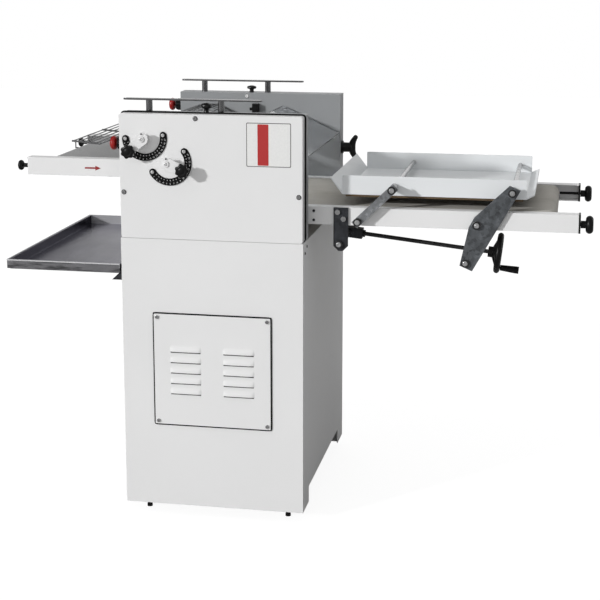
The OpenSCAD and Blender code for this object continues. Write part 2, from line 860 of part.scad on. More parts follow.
module access_gasket() color("DimGray") placed() {
    x = panel_w * half + panel_seal_lip;
    z = panel_h * half + panel_seal_lip;
    xi = panel_w * half - panel_seal_w;
    zi = panel_h * half - panel_seal_w;
    difference() {
        box(-x, x, panel_y, front_y, panel_z - z, panel_z + z);
        box(-xi, xi, panel_y - over, front_y + over, panel_z - zi, panel_z + zi);
        for (p = panel_spots) {
            bar_y(screw_dia + 2 * screw_fit, panel_y - over, front_y + over, p[0], p[1], small_steps);
        }
    }
}

module access_panel() color("WhiteSmoke") placed() {
    x = panel_w * half;
    z = panel_h * half;
    lx = louvre_len * half;
    lz = louvre_h * half;
    difference() {
        union() {
            box(-x, x, panel_face, panel_y, panel_z - z, panel_z + z);
            for (p = louvre_spots) {
                plate_x([[panel_face, p[1] + lz], [panel_face - louvre_out, p[1] - lz],
                    [panel_face, p[1] - lz]], p[0] - lx, p[0] + lx);
            }
        }
        for (p = louvre_spots) {
            plate_x([[panel_face, p[1] + lz - 3 * panel_t],
                [panel_face - louvre_out + 2 * panel_t, p[1] - lz - over], [panel_face, p[1] - lz - over]],
                p[0] - lx + panel_t, p[0] + lx - panel_t);
            box(p[0] - lx + panel_t, p[0] + lx - panel_t, panel_face - over, panel_y + over,
                p[1] - lz + panel_t, p[1] - lz + louvre_slot);
        }
        for (p = panel_spots) {
            bar_y(screw_dia + 2 * screw_fit, panel_face - over, panel_y + over, p[0], p[1], small_steps);
        }
    }
}

// Socket screw whose head sits on a face looking to the front
module screw(p, face) {
    difference() {
        union() {
            bar_y(screw_head, face - screw_head_h, face, p[0], p[1], small_steps);
            bar_y(screw_dia, face - over, face + screw_len, p[0], p[1], small_steps);
        }
        bar_y(screw_socket, face - screw_head_h - over, face - screw_head_h + screw_socket_d, p[0], p[1],
            hex_steps);
    }
}

module panel_screws() color("Silver") placed() {
    for (p = panel_spots) {
        screw(p, panel_face);
    }
    for (p = cover_spots) {
        screw(p, front_y);
    }
    for (p = dial_spots) {
        screw(p, scale_y);
    }
    for (p = rear_spots) {
        mirror([0, 1, 0]) screw(p, -rear_y);
    }
}

module levelling_feet() color("DimGray") placed() {
    top = foot_h + sheet;
    for (sx = [-1, 1]) {
        for (sy = [-1, 1]) {
            translate([sx * foot_x, sy * foot_y, 0]) {
                bar_z(foot_pad_dia, 0, foot_pad_h, 0, 0);
                bar_z(foot_dia, 0, foot_h, 0, 0);
                bar_z(foot_stem, 0, top + foot_stem_h, 0, 0);
                bar_z(foot_nut, top, top + foot_nut_h, 0, 0, hex_steps);
            }
        }
    }
}

module gear_motor() color("SlateGray") placed() {
    z0 = shelf_z + sheet;
    y0 = front_y + sheet + gear_in;
    box(-gear_w * half, gear_w * half, y0, y0 + gear_l, z0, z0 + gear_w);
    bar_y(motor_dia, y0 + gear_l - over, y0 + gear_l + motor_l, 0, z0 + gear_w * half);
    bar_y(gear_shaft, y0 - gear_shaft_l, y0 + over, 0, z0 + gear_w * half);
}

// Bores shared by the inner walls of both housings
module wall_bores(y0, y1) {
    slot = axle + 2 * run_fit;
    bar_y(slot, y0, y1, lower_x, lower_z);
    bar_y(slot, y0, y1, upper_x, upper_z - upper_drop);
    bar_y(slot, y0, y1, upper_x, upper_z + upper_lift);
    box(upper_x - slot * half, upper_x + slot * half, y0, y1, upper_z - upper_drop, upper_z + upper_lift);
    bar_y(slot, y0, y1, second_x - second_in, second_z);
    bar_y(slot, y0, y1, second_x + second_out, second_z);
    box(second_x - second_in, second_x + second_out, y0, y1, second_z - slot * half, second_z + slot * half);
    bar_y(guard_rod + 2 * run_fit, y0, y1, guard_x4, guard_z4);
}

module front_housing() color("Silver") placed() {
    difference() {
        box(-housing_x, housing_x, seal_back, inner_front, base_top, housing_top);
        box(-housing_x + wall, housing_x - wall, seal_back - over, inner_front - wall, base_top + wall,
            housing_top - wall);
        wall_bores(inner_front - wall - over, inner_front + over);
        bar_y(lever_shaft + 2 * run_fit, inner_front - wall - over, inner_front + over, dial1_x, dial1_z);
        bar_y(lever_shaft + 2 * run_fit, inner_front - wall - over, inner_front + over, dial2_x, dial2_z);
        bar_z(lock_pin + 2 * run_fit, housing_top - wall - over, housing_top + over, lock_front_x,
            top_front_y);
    }
}

module rear_housing() color("Silver") placed() {
    difference() {
        box(-housing_x, housing_x, inner_rear, rear_y - sheet, base_top, housing_top);
        box(-housing_x + wall, housing_x - wall, inner_rear + wall, rear_y - sheet + over, base_top + wall,
            housing_top - wall);
        wall_bores(inner_rear - over, inner_rear + wall + over);
        bar_z(lock_pin + 2 * run_fit, housing_top - wall - over, housing_top + over, lock_rear_x, top_rear_y);
        bar_x(wing_shaft + 2 * run_fit, housing_x - wall - over, housing_x + over, top_rear_y, wing_z);
    }
}

module rear_cover() color("WhiteSmoke") placed() {
    difference() {
        box(-housing_x, housing_x, rear_y - sheet, rear_y, base_top, housing_top);
        for (p = rear_spots) {
            bar_y(screw_dia + 2 * screw_fit, rear_y - sheet - over, rear_y + over, p[0], p[1], small_steps);
        }
    }
}

module cover_gasket() color("DimGray") placed() {
    difference() {
        round_plate(-housing_x - seal_lip, housing_x + seal_lip, base_top, housing_top + seal_lip,
            cover_r + seal_lip, cover_back, seal_back);
        box(-housing_x + seal_w, housing_x - seal_w, cover_back - over, seal_back + over, base_top + seal_w,
            housing_top - seal_w);
    }
}

module front_cover() color("WhiteSmoke") placed() {
    z0 = base_top + cover_gap;
    difference() {
        round_plate(-housing_x, housing_x, z0, housing_top, cover_r, front_y, cover_back);
        round_plate(-housing_x + cover_t, housing_x - cover_t, z0 + cover_t, housing_top - cover_t,
            cover_r - cover_t, front_y + cover_t, cover_back + over);
        bar_y(lever_shaft + 2 * run_fit, front_y - over, front_y + cover_t + over, dial1_x, dial1_z);
        bar_y(lever_shaft + 2 * run_fit, front_y - over, front_y + cover_t + over, dial2_x, dial2_z);
        for (p = concat(cover_spots, dial_spots)) {
            bar_y(screw_dia + 2 * screw_fit, front_y - over, front_y + cover_t + over, p[0], p[1],
                small_steps);
        }
    }
}

// Point outside a dial scale at an angle from its start
function far_point(a) = 2 * dial_r * [cos(a), sin(a)];

module dial_scale(x, z, start) {
    step = (dial_sweep - 2 * dial_hole_a) / (dial_holes - 1);
    open_step = (360 - dial_sweep) / 3;
    translate([x, front_y, z]) rotate([90, 0, 0]) rotate([0, 0, start]) difference() {
        union() {
            difference() {
                cylinder(h = dial_t, r = dial_r + dial_band * half, $fn = 2 * round_steps);
                translate([0, 0, -over]) {
                    cylinder(h = dial_t + 2 * over, r = dial_r - dial_band * half, $fn = 2 * round_steps);
                    linear_extrude(height = dial_t + 2 * over) polygon(concat([[0, 0]],
                        [for (i = [0 : 3]) far_point(dial_sweep + i * open_step)]));
                }
            }
            for (a = [0, dial_sweep]) {
                rotate([0, 0, a]) translate([dial_r, 0, 0])
                    cylinder(h = dial_t, d = dial_end, $fn = round_steps);
            }
        }
        for (i = [0 : dial_holes - 1]) {
            rotate([0, 0, dial_hole_a + i * step]) translate([lever_r, 0, -over])
                cylinder(h = dial_t + 2 * over, d = dial_hole, $fn = small_steps);
        }
        for (a = [0, dial_sweep]) {
            rotate([0, 0, a]) translate([dial_r, 0, -over]) rotate([0, 0, dial_screw_a])
                cylinder(h = dial_t + 2 * over, d = screw_dia + 2 * screw_fit, $fn = small_steps);
        }
    }
}

module dial_scales() color("DimGray") placed() {
    dial_scale(dial1_x, dial1_z, dial1_a);
    dial_scale(dial2_x, dial2_z, dial2_a);
}

module gap_lever(x, z, a) {
    phi = acos((lever_hub_r - lever_tip_r) / lever_r);
    dx = cos(phi);
    dz = sin(phi);
    difference() {
        union() {
            translate([x, 0, z]) rotate([0, -a, 0]) {
                bar_y(2 * lever_hub_r, lever_face, lever_back, 0, 0);
                bar_y(2 * lever_tip_r, lever_face, lever_back, lever_r, 0);
                plate_y([[lever_hub_r * dx, lever_hub_r * dz], [lever_r + lever_tip_r * dx, lever_tip_r * dz],
                    [lever_r + lever_tip_r * dx, -lever_tip_r * dz], [lever_hub_r * dx, -lever_hub_r * dz]],
                    lever_face, lever_back);
            }
            bar_y(lever_shaft, lever_face, inner_front - face_gap, x, z);
            bar_y(lever_boss, lever_face, front_y - lever_boss_gap, x, z);
            bar_y(lever_cap, lever_face - lever_cap_h, lever_back, x, z);
            bar_y(2 * cam_r, cam_y, cam_y + cam_t, x + cam_off, z);
        }
        bar_y(lever_mark, lever_face - over, lever_face + lever_mark_d, x, z + lever_mark_r, small_steps);
        bar_y(star_pin + 2 * run_fit, lever_face - over, lever_back + over, x + lever_r * cos(a),
            z + lever_r * sin(a), small_steps);
    }
}

module gap_lever_1() color("WhiteSmoke") placed() gap_lever(dial1_x, dial1_z, lever1_a);

module gap_lever_2() color("WhiteSmoke") placed() gap_lever(dial2_x, dial2_z, lever2_a);

module star_knob(x, z) {
    y1 = lever_face - star_neck_h;
    y0 = y1 - star_t;
    lobe_r = (star_dia - star_lobe) * half;
    bar_y(star_dia * star_core_share, y0, y1, x, z);
    for (i = [0 : star_lobes - 1]) {
        a = i * 360 / star_lobes;
        bar_y(star_lobe, y0, y1, x + lobe_r * cos(a), z + lobe_r * sin(a));
    }
    bar_y(star_lobe, y1 - over, lever_face - face_gap, x, z);
    bar_y(star_pin, y1 - over, scale_y - star_pin_gap, x, z, small_steps);
}

module star_knob_1() color("DimGray") placed()
    star_knob(dial1_x + lever_r * cos(lever1_a), dial1_z + lever_r * sin(lever1_a));

module star_knob_2() color("DimGray") placed()
    star_knob(dial2_x + lever_r * cos(lever2_a), dial2_z + lever_r * sin(lever2_a));

module tray_bars() color("Silver") placed() {
    z0 = housing_top + post_h;
    r = bar_w * half;
    for (y = [top_front_y, top_rear_y]) {
        box(bar_x0 + r, bar_x1 - r, y - r, y + r, z0, z0 + bar_t);
        bar_z(bar_w, z0, z0 + bar_t, bar_x0 + r, y);
        bar_z(bar_w, z0, z0 + bar_t, bar_x1 - r, y);
        bar_z(post_dia, housing_top, z0 + bar_t * half, post_x0, y);
        bar_z(post_dia, housing_top, z0 + bar_t * half, post_x1, y);
    }
}

module lock_knob(x, y) {
    translate([x, y, housing_top + face_gap]) rotate_extrude($fn = round_steps)
        knob_section(lock_neck, lock_h - lock_head - face_gap, lock_dia, lock_head);
    bar_z(lock_pin, housing_top - lock_pin_l, housing_top + lock_h - lock_head, x, y);
}

module lock_knob_front() color("DimGray") placed() lock_knob(lock_front_x, top_front_y);

module lock_knob_rear() color("DimGray") placed() lock_knob(lock_rear_x, top_rear_y);

module roller(x, z, r, y0, y1) {
    bar_y(2 * r, inner_front + roller_end_gap, inner_rear - roller_end_gap, x, z, 2 * round_steps);
    bar_y(axle, y0, y1, x, z);
}

module upper_roller() color("Gainsboro") placed()
    roller(upper_x, upper_z, roller_r, bearing_front0, bearing_rear0 + bearing_d);

module second_roller() color("Gainsboro") placed()
    roller(second_x, second_z, second_r, bearing_front0, bearing_rear0 + bearing_d);

module lower_roller() color("Gainsboro") placed()
    roller(lower_x, lower_z, roller_r, inner_front - wall - axle_in, inner_rear + wall + axle_in);

module bearings(x, z) {
    w = bearing_w * half;
    for (y = [bearing_front0, bearing_rear0]) {
        difference() {
            box(x - w, x + w, y, y + bearing_d, z - w, z + bearing_up);
            bar_y(axle + 2 * run_fit, y - over, y + bearing_d + over, x, z);
        }
    }
}

module upper_bearings() color("SlateGray") placed() bearings(upper_x, upper_z);

module second_bearings() color("SlateGray") placed() bearings(second_x, second_z);

// Rod from one profile point to the next, in the XZ plane at depth y
module guard_run(a, b, y) {
    d = b - a;
    l = norm(d);
    translate([a[0], y, a[1]]) rotate([0, -atan2(d[1], d[0]), 0])
        bar_x(guard_rod, -guard_rod * neck_share, l + guard_rod * neck_share, 0, 0, small_steps);
}

module wire_guard() color("Silver") placed() {
    y0 = inner_front + guard_gap;
    y1 = inner_rear - guard_gap;
    runs = len(guard_line) - 1;
    for (y = [y0, mid_y, y1]) {
        for (i = [0 : runs - 1]) {
            guard_run(guard_line[i], guard_line[i + 1], y);
        }
    }
    for (x = [guard_x0 : wire_pitch : guard_x4 - wire_pitch * half]) {
        bar_y(wire, y0, y1, x, lookup(x, guard_line), small_steps);
    }
    bar_y(guard_rod, inner_front - guard_pin_in, inner_rear + guard_pin_in, guard_x4, guard_z4, small_steps);
    bar_z(wire, guard_z0 - guard_leg, guard_z0, guard_x0 + guard_leg_foot, y0, small_steps);
    bar_x(wire, guard_x0 + guard_leg_foot, guard_x0 + 2 * guard_leg_foot, y0,
        guard_z0 - guard_leg + wire * half, small_steps);
}

function roof_at(x) = roof_z - abs(x - roof_x) * tan(roof_slope);

module roof_guard() color("LightBlue") placed() {
    t = roof_t / cos(roof_slope);
    plate_y([[roof_x0, roof_at(roof_x0)], [roof_x, roof_z], [roof_x1, roof_at(roof_x1)],
        [roof_x1, roof_at(roof_x1) - t], [roof_x, roof_z - t], [roof_x0, roof_at(roof_x0) - t]],
        inner_front + roof_gap, inner_rear - roof_gap);
}

module guard_strips() color("Silver") placed() {
    t = roof_t / cos(roof_slope);
    b = t + strip_h;
    both_sides() plate_y([[roof_x0, roof_at(roof_x0) - t], [roof_x, roof_z - t],
        [roof_x1, roof_at(roof_x1) - t], [roof_x1, roof_at(roof_x1) - b], [roof_x, roof_z - b],
        [roof_x0, roof_at(roof_x0) - b]],
        inner_front, inner_front + strip_d);
}

module interlock_switch() color("DimGray") placed() {
    w = switch_w * half;
    h = switch_h * half;
    box(switch_x - w, switch_x + w, inner_rear - switch_d, inner_rear, switch_z - h, switch_z + h);
    bar_x(switch_w * half, switch_x - w - switch_w * half, switch_x, inner_rear - switch_d * half, switch_z);
}

module estop_collar(y, z) {
    x0 = -housing_x - stop_collar_l;
    difference() {
        union() {
            bar_x(stop_collar, x0, -housing_x, y, z);
            for (i = [0 : stop_ribs - 1]) {
                bar_x(stop_rib, x0 + stop_rib, -housing_x, y + stop_collar * half * cos(i * 360 / stop_ribs),
                    z + stop_collar * half * sin(i * 360 / stop_ribs), small_steps);
            }
        }
        bar_x(stop_stem + 2 * run_fit, x0 - over, -housing_x - sheet + screw_fit, y, z);
    }
}

module estop_collars() color("DimGray") placed() {
    estop_collar(stop_front_y, stop_front_z);
    estop_collar(stop_rear_y, stop_rear_z);
}

module estop_button(y, z) {
    x0 = -housing_x - stop_collar_l - stop_travel;
    translate([x0, y, z]) rotate([0, -90, 0]) rotate_extrude($fn = round_steps)
        knob_section(stop_stem, 0, stop_dia, stop_head);
    bar_x(stop_stem, x0 - over, x0 + stop_stem_l, y, z);
}

module estop_button_front() color("FireBrick") placed() estop_button(stop_front_y, stop_front_z);

module estop_button_rear() color("FireBrick") placed() estop_button(stop_rear_y, stop_rear_z);

module wing_knob() color("DimGray") placed() {
    x = housing_x;
    h = wing_hub * neck_share * half;
    tip = wing_t * half;
    bar_x(wing_flange, x + face_gap, x + wing_flange_t, top_rear_y, wing_z);
    bar_x(wing_hub, x + face_gap, x + wing_hub_l, top_rear_y, wing_z);
    bar_x(wing_shaft, x - wing_shaft_l, x + wing_hub_l, top_rear_y, wing_z);
    translate([0, top_rear_y, wing_z]) plate_y([[x + wing_flange_t, h], [x + wing_hub_l, h],
        [x + wing_l - tip, wing_span], [x + wing_l, wing_span - tip], [x + wing_hub_l + tip, 0],
        [x + wing_l, -wing_span + tip], [x + wing_l - tip, -wing_span], [x + wing_hub_l, -h],
        [x + wing_flange_t, -h]], -tip, tip);
}

// Blind boss on the inside of a rail web, and the bore in it
module axle_boss(x, z) {
    y0 = inner_front + rail_t;
    bar_y(belt_axle + 2 * boss_wall, y0 - over, y0 + boss_l, x, z);
}

module axle_bore(x, z) {
    y0 = inner_front + rail_t;
    bar_y(belt_axle + 2 * run_fit, y0, y0 + boss_l + over, x, z);
}

// Channel rail along X, open toward the middle of the machine
module rail(x0, x1, z0) {
    z1 = z0 + rail_h;
    y0 = inner_front;
    y1 = inner_front + rail_flange;
    plate_x([[y0, z0], [y1, z0], [y1, z0 + rail_t], [y0 + rail_t, z0 + rail_t], [y0 + rail_t, z1 - rail_t],
        [y1, z1 - rail_t], [y1, z1], [y0, z1]], x0, x1);
}

module infeed_rails() color("WhiteSmoke") placed() {
    both_sides() difference() {
        union() {
            rail(in_x0, in_x1, in_bot);
            box(in_x0, in_x0 + rail_t, inner_front, inner_front + rail_flange, in_bot, in_top);
            axle_boss(in_tail_x, in_axis_z);
            axle_boss(in_drive_x, in_axis_z);
        }
        bar_x(rod_dia + 2 * run_fit, in_x0 - over, in_x0 + rail_t + over, rod_y, in_rod_z);
        axle_bore(in_tail_x, in_axis_z);
        axle_bore(in_drive_x, in_axis_z);
    }
}

module outfeed_rails() color("WhiteSmoke") placed() {
    y1 = inner_front + rail_t + over;
    both_sides() difference() {
        union() {
            rail(out_x0, out_x1, out_bot);
            axle_boss(out_tail_x, out_axis_z);
            axle_boss(out_drive_x, out_axis_z);
        }
        axle_bore(out_tail_x, out_axis_z);
        axle_bore(out_drive_x, out_axis_z);
        bar_y(pin + 2 * screw_fit, inner_front - over, y1, pivot_x, pivot_z);
        bar_y(pin + 2 * screw_fit, inner_front - over, y1, link_x, pivot_z);
        for (p = bracket_spots) {
            bar_y(rail_bolt + 2 * screw_fit, inner_front - over, y1, p[0], p[1]);
        }
    }
}

// Bed plate under a belt, with raised edges that seat under the rail flanges
module bed(x0, x1, rail_top) {
    top = rail_top - belt_drop - belt_t - belt_clear;
    y0 = inner_front + rail_t + bed_in;
    box(x0, x1, y0, 2 * mid_y - y0, top - bed_t, top);
    both_sides() box(x0, x1, y0, y0 + bed_lip, top - bed_t, rail_top - rail_t);
}

module slider_beds() color("Silver") placed() {
    off = belt_roller + bed_gap;
    bed(in_tail_x + off, in_drive_x - off, in_top);
    bed(out_drive_x + off, out_tail_x - off, out_top);
}

module belt_loop(x0, x1, z, r, y0, y1) {
    box(x0, x1, y0, y1, z - r, z + r);
    bar_y(2 * r, y0, y1, x0, z);
    bar_y(2 * r, y0, y1, x1, z);
}

module belt(x0, x1, z) {
    difference() {
        belt_loop(x0, x1, z, belt_out_r, belt_y0, belt_y1);
        belt_loop(x0, x1, z, belt_out_r - belt_t, belt_y0 - over, belt_y1 + over);
    }
}

module infeed_belt() color("Gray") placed() belt(in_tail_x, in_drive_x, in_axis_z);

module outfeed_belt() color("Beige") placed() belt(out_drive_x, out_tail_x, out_axis_z);

module belt_drum(x, z) {
    bar_y(2 * belt_roller, belt_y0, belt_y1, x, z);
    bar_y(belt_axle, inner_front + rail_t + face_gap, inner_rear - rail_t - face_gap, x, z);
}

module infeed_tail_roller() color("Gainsboro") placed() belt_drum(in_tail_x, in_axis_z);

module infeed_drive_roller() color("Gainsboro") placed() belt_drum(in_drive_x, in_axis_z);

module outfeed_tail_roller() color("Gainsboro") placed() belt_drum(out_tail_x, out_axis_z);

module outfeed_drive_roller() color("Gainsboro") placed() belt_drum(out_drive_x, out_axis_z);

module infeed_knob(y) {
    translate([in_x0 - face_gap, y, in_rod_z]) rotate([0, -90, 0]) rotate_extrude($fn = round_steps)
        knob_section(in_neck, in_neck_l, in_knob, in_knob_l);
    bar_x(rod_dia, in_x0 - face_gap - over, in_x0 + rod_l, y, in_rod_z);
}

module infeed_knob_front() color("DimGray") placed() infeed_knob(rod_y);

module infeed_knob_rear() color("DimGray") placed() infeed_knob(2 * mid_y - rod_y);

module outfeed_end_caps() color("DimGray") placed() {
    both_sides() difference() {
        box(out_x1, out_x1 + cap_t, inner_front - cap_lip, inner_front + rail_flange + cap_lip,
            out_bot - cap_lip, out_top + cap_lip);
        bar_x(rod_dia + 2 * run_fit, out_x1 - over, out_x1 + cap_t + over, rod_y, out_rod_z);
    }
}

module outfeed_knob(y) {
    x = out_x1 + cap_t + face_gap;
    translate([x, y, out_rod_z]) rotate([0, 90, 0]) rotate_extrude($fn = round_steps)
        knob_section(out_neck, out_neck_l, out_knob, out_knob_l);
    bar_x(rod_dia, out_x1 - rod_l, x + over, y, out_rod_z);
}

module outfeed_knob_front() color("DimGray") placed() outfeed_knob(rod_y);

module outfeed_knob_rear() color("DimGray") placed() outfeed_knob(2 * mid_y - rod_y);

module flange(y0) {
    top = board_z + board_flange;
    difference() {
        union() {
            box(board_x0, board_x1, y0, y0 + board_t, board_z, top - board_r);
            box(board_x0 + board_r, board_x1 - board_r, y0, y0 + board_t, board_z, top);
            bar_y(2 * board_r, y0, y0 + board_t, board_x0 + board_r, top - board_r, corner_steps);
            bar_y(2 * board_r, y0, y0 + board_t, board_x1 - board_r, top - board_r, corner_steps);
        }
        for (x = [link_x + arm_dx, pivot_x + arm_dx]) {
            bar_y(pin + 2 * run_fit, y0 - over, y0 + board_t + over, x, upper_pivot_z);
        }
    }
}

module pressure_board() color("WhiteSmoke") placed() {
    z = board_z;
    t = board_t;
    lx = flap_l * cos(flap_a);
    lz = flap_l * sin(flap_a);
    rx = flap_r * cos(flap_r_a);
    rz = flap_r * sin(flap_r_a);
    box(board_x0, board_x1, board_y0, board_y1, z, z + t);
    flange(board_y0);
    flange(board_y1 - t);
    plate_y([[board_x0 + t, z], [board_x0, z], [board_x0 - lx, z + lz],
        [board_x0 - lx + t * sin(flap_a), z + lz + t * cos(flap_a)], [board_x0 + t, z + t]],
        board_y0, board_y1);
    plate_y([[board_x1 - t, z], [board_x1, z], [board_x1 + rx, z + rz],
        [board_x1 + rx - t * sin(flap_r_a), z + rz + t * cos(flap_r_a)], [board_x1 - t, z + t]],
        board_y0, board_y1);
}

module board_felt() color("SaddleBrown") placed()
    box(board_x0 + felt_inset, board_x1 - felt_inset, board_y0 + felt_inset, board_y1 - felt_inset,
        board_z - felt_t, board_z);

// Half of a board rod: tube inside the flange, spacer, pin through the arm, washer and head
module rod_half(x, arm_y0, arm_y1, washer_d) {
    washer_y = arm_y0 - face_gap - washer_t;
    bar_y(rod_tube, board_y0 + board_t, mid_y, x, upper_pivot_z);
    bar_y(pin, washer_y, board_y0 + board_t + over, x, upper_pivot_z);
    bar_y(spacer, arm_y1 + face_gap, board_y0, x, upper_pivot_z);
    bar_y(washer_d, washer_y, arm_y0 - face_gap, x, upper_pivot_z);
    bar_y(bolt_head, washer_y - bolt_head_h, washer_y + over, x, upper_pivot_z);
}

module board_rods() color("Silver") placed() {
    both_sides() rod_half(link_x + arm_dx, link_y0, link_y1, washer);
    both_sides() rod_half(pivot_x + arm_dx, lever_y0, lever_y1, bolt_head);
}

module anchor_brackets() color("DimGray") placed() {
    c = bracket_cut;
    both_sides() difference() {
        plate_y([[bracket_x0, out_top], [bracket_x1, out_top], [bracket_x1, bracket_z0 + c],
            [bracket_x1 - c, bracket_z0], [bracket_x0 + c, bracket_z0], [bracket_x0, bracket_z0 + c]],
            bracket_y0, inner_front);
        bar_y(journal + 2 * run_fit, bracket_y0 - over, inner_front + over, anchor_x, anchor_z);
        for (p = bracket_spots) {
            bar_y(rail_bolt + 2 * screw_fit, bracket_y0 - over, inner_front + over, p[0], p[1]);
        }
    }
}

module anchor_block() color("DimGray") placed() {
    w = block_w * half;
    both_sides() {
        bar_y(anchor_dia, inner_front + face_gap, mid_y, anchor_x, anchor_z);
        bar_y(journal, bracket_y0 - face_gap - over, mid_y, anchor_x, anchor_z);
        bar_y(bolt_head + washer_t, bracket_y0 - face_gap - bolt_head_h, bracket_y0 - face_gap, anchor_x,
            anchor_z);
    }
    on_spindle() difference() {
        box(-block_back, block_l, -w, w, -w, w);
        bar_x(spindle + 2 * run_fit, seat_gap, block_l + over, 0, 0);
    }
}

module spindle_rod() color("SlateGray") placed() {
    on_spindle() {
        bar_x(spindle, seat_gap + face_gap, rim_s, 0, 0);
        bar_x(collar_dia, block_l + face_gap, block_l + face_gap + collar_l, 0, 0);
    }
}

module handwheel() color("DimGray") placed() {
    web_r0 = hub_dia * half - web_t * half;
    web_s0 = hub_s + (rim_s - hub_s) * web_share;
    on_spindle() {
        difference() {
            rotate([0, 90, 0]) rotate_extrude($fn = 2 * round_steps) {
                translate([spindle * half + run_fit, hub_s])
                    square([(hub_dia - spindle) * half - run_fit, rim_s + rim_section - hub_s]);
                polygon([[web_r0, web_s0], [rim_r, rim_s - web_t * half], [rim_r, rim_s + web_t * half],
                    [web_r0, web_s0 + 2 * web_t]]);
                translate([rim_r, rim_s]) circle(r = rim_section, $fn = small_steps);
            }
            for (a = [60, 180, 300]) {
                rotate([a, 0, 0]) bar_x(web_hole, hub_s, rim_s + 2 * rim_section, 0, -web_hole_r);
            }
        }
        bar_x(grip_pin, rim_s, rim_s + rim_section + grip_l * taper_share, 0, -grip_r);
    }
}

module crank_grip() color("DimGray") placed() {
    s0 = rim_s + rim_section + grip_gap;
    bore = grip_pin * half + run_fit;
    on_spindle() translate([s0, 0, -grip_r]) rotate([0, 90, 0]) rotate_extrude($fn = round_steps)
        polygon([[bore, 0], [grip_root * half, 0], [grip_dia * half, grip_l * taper_share],
            [grip_dia * half, grip_l], [0, grip_l], [0, grip_l * ball_share], [bore, grip_l * ball_share]]);
}

module board_levers() color("DimGray") placed() {
    both_sides() difference() {
        translate([pivot_x, 0, pivot_z]) plate_y([lever_c1, lever_c2, lever_c3, lever_c4, lever_c5, lever_c6],
            lever_y0, lever_y1);
        bar_y(pin + 2 * run_fit, lever_y0 - over, lever_y1 + over, pivot_x, pivot_z);
        bar_y(pin + 2 * run_fit, lever_y0 - over, lever_y1 + over, pivot_x + arm_dx, upper_pivot_z);
        bar_y(journal + 2 * run_fit, lever_y0 - over, lever_y1 + over, nut_x, nut_z);
    }
}

module nut_bar() color("SlateGray") placed() {
    difference() {
        both_sides() {
            bar_y(nut_dia, lever_y1 + face_gap, mid_y, nut_x, nut_z);
            bar_y(journal, lever_y0 - face_gap - over, mid_y, nut_x, nut_z);
            bar_y(bolt_head + washer_t, lever_y0 - face_gap - bolt_head_h, lever_y0 - face_gap, nut_x, nut_z);
        }
        on_spindle() bar_x(spindle + 2 * nut_play, nut_s - nut_dia, nut_s + nut_dia, 0, 0);
    }
}

module board_links() color("Silver") placed() {
    w = link_w * half;
    both_sides() difference() {
        translate([link_x, 0, pivot_z]) rotate([0, -link_a, 0])
            box(-link_end, link_l + link_end, link_y0, link_y1, -w, w);
        bar_y(pin + 2 * run_fit, link_y0 - over, link_y1 + over, link_x, pivot_z);
        bar_y(pin + 2 * run_fit, link_y0 - over, link_y1 + over, link_x + arm_dx, upper_pivot_z);
    }
}

// Shoulder bolt of a lower pivot, with spacer, washer, head and inner nut
module pivot_bolt(x, arm_y0, arm_y1) {
    washer_y = arm_y0 - face_gap - washer_t;
    bar_y(pin, washer_y, inner_front + rail_t + over, x, pivot_z);
    bar_y(spacer, arm_y1 + face_gap, inner_front, x, pivot_z);
    bar_y(washer, washer_y, arm_y0 - face_gap, x, pivot_z);
    bar_y(bolt_head, washer_y - bolt_head_h, washer_y + over, x, pivot_z);
    bar_y(spacer, inner_front + rail_t, inner_front + rail_t + bolt_head_h, x, pivot_z, hex_steps);
}

module pivot_bolts() color("Silver") placed() {
    both_sides() {
        pivot_bolt(pivot_x, lever_y0, lever_y1);
        pivot_bolt(link_x, link_y0, link_y1);
        for (p = bracket_spots) {
            bar_y(bolt_head, bracket_y0 - bolt_head_h, bracket_y0, p[0], p[1]);
            bar_y(rail_bolt, bracket_y0 - over, inner_front + rail_t + over, p[0], p[1]);
            bar_y(bolt_head, inner_front + rail_t, inner_front + rail_t + bolt_head_h, p[0], p[1], hex_steps);
        }
    }
}

module catch_tray() color("Gainsboro") placed() {
    t = tray_t;
    r = tray_rim;
    top = tray_z0 + tray_h;
    difference() {
        union() {
            box(tray_x0 + r, tray_x1, tray_y0 + r, tray_y1 - r, tray_z0, top);
            box(tray_x0, tray_x1 + r, tray_y0, tray_y1, top - t, top);
            box(tray_x1 + r - t, tray_x1 + r, tray_y0, tray_y1, top - tray_hook, top);
        }
        box(tray_x0 + r + t, tray_x1 - t, tray_y0 + r + t, tray_y1 - r - t, tray_z0 + t, top + over);
    }
}

module tray_brackets() color("DimGray") placed() {
    x = -base_x;
    arm_x = tray_x1 + tray_gap;
    z0 = tray_br_z0;
    top = tray_z0 + tray_h - tray_t - tray_gap;
    for (y = [-tray_br_y, tray_br_y]) {
        plate_y([[x, z0], [x - tray_br_l, z0], [arm_x, tray_z0 - tray_gap], [arm_x, top],
            [arm_x + tray_br_t, top], [arm_x + tray_br_t, top - tray_hook - over],
            [x, top - tray_hook - over]],
            y - tray_br_w * half, y + tray_br_w * half);
    }
}

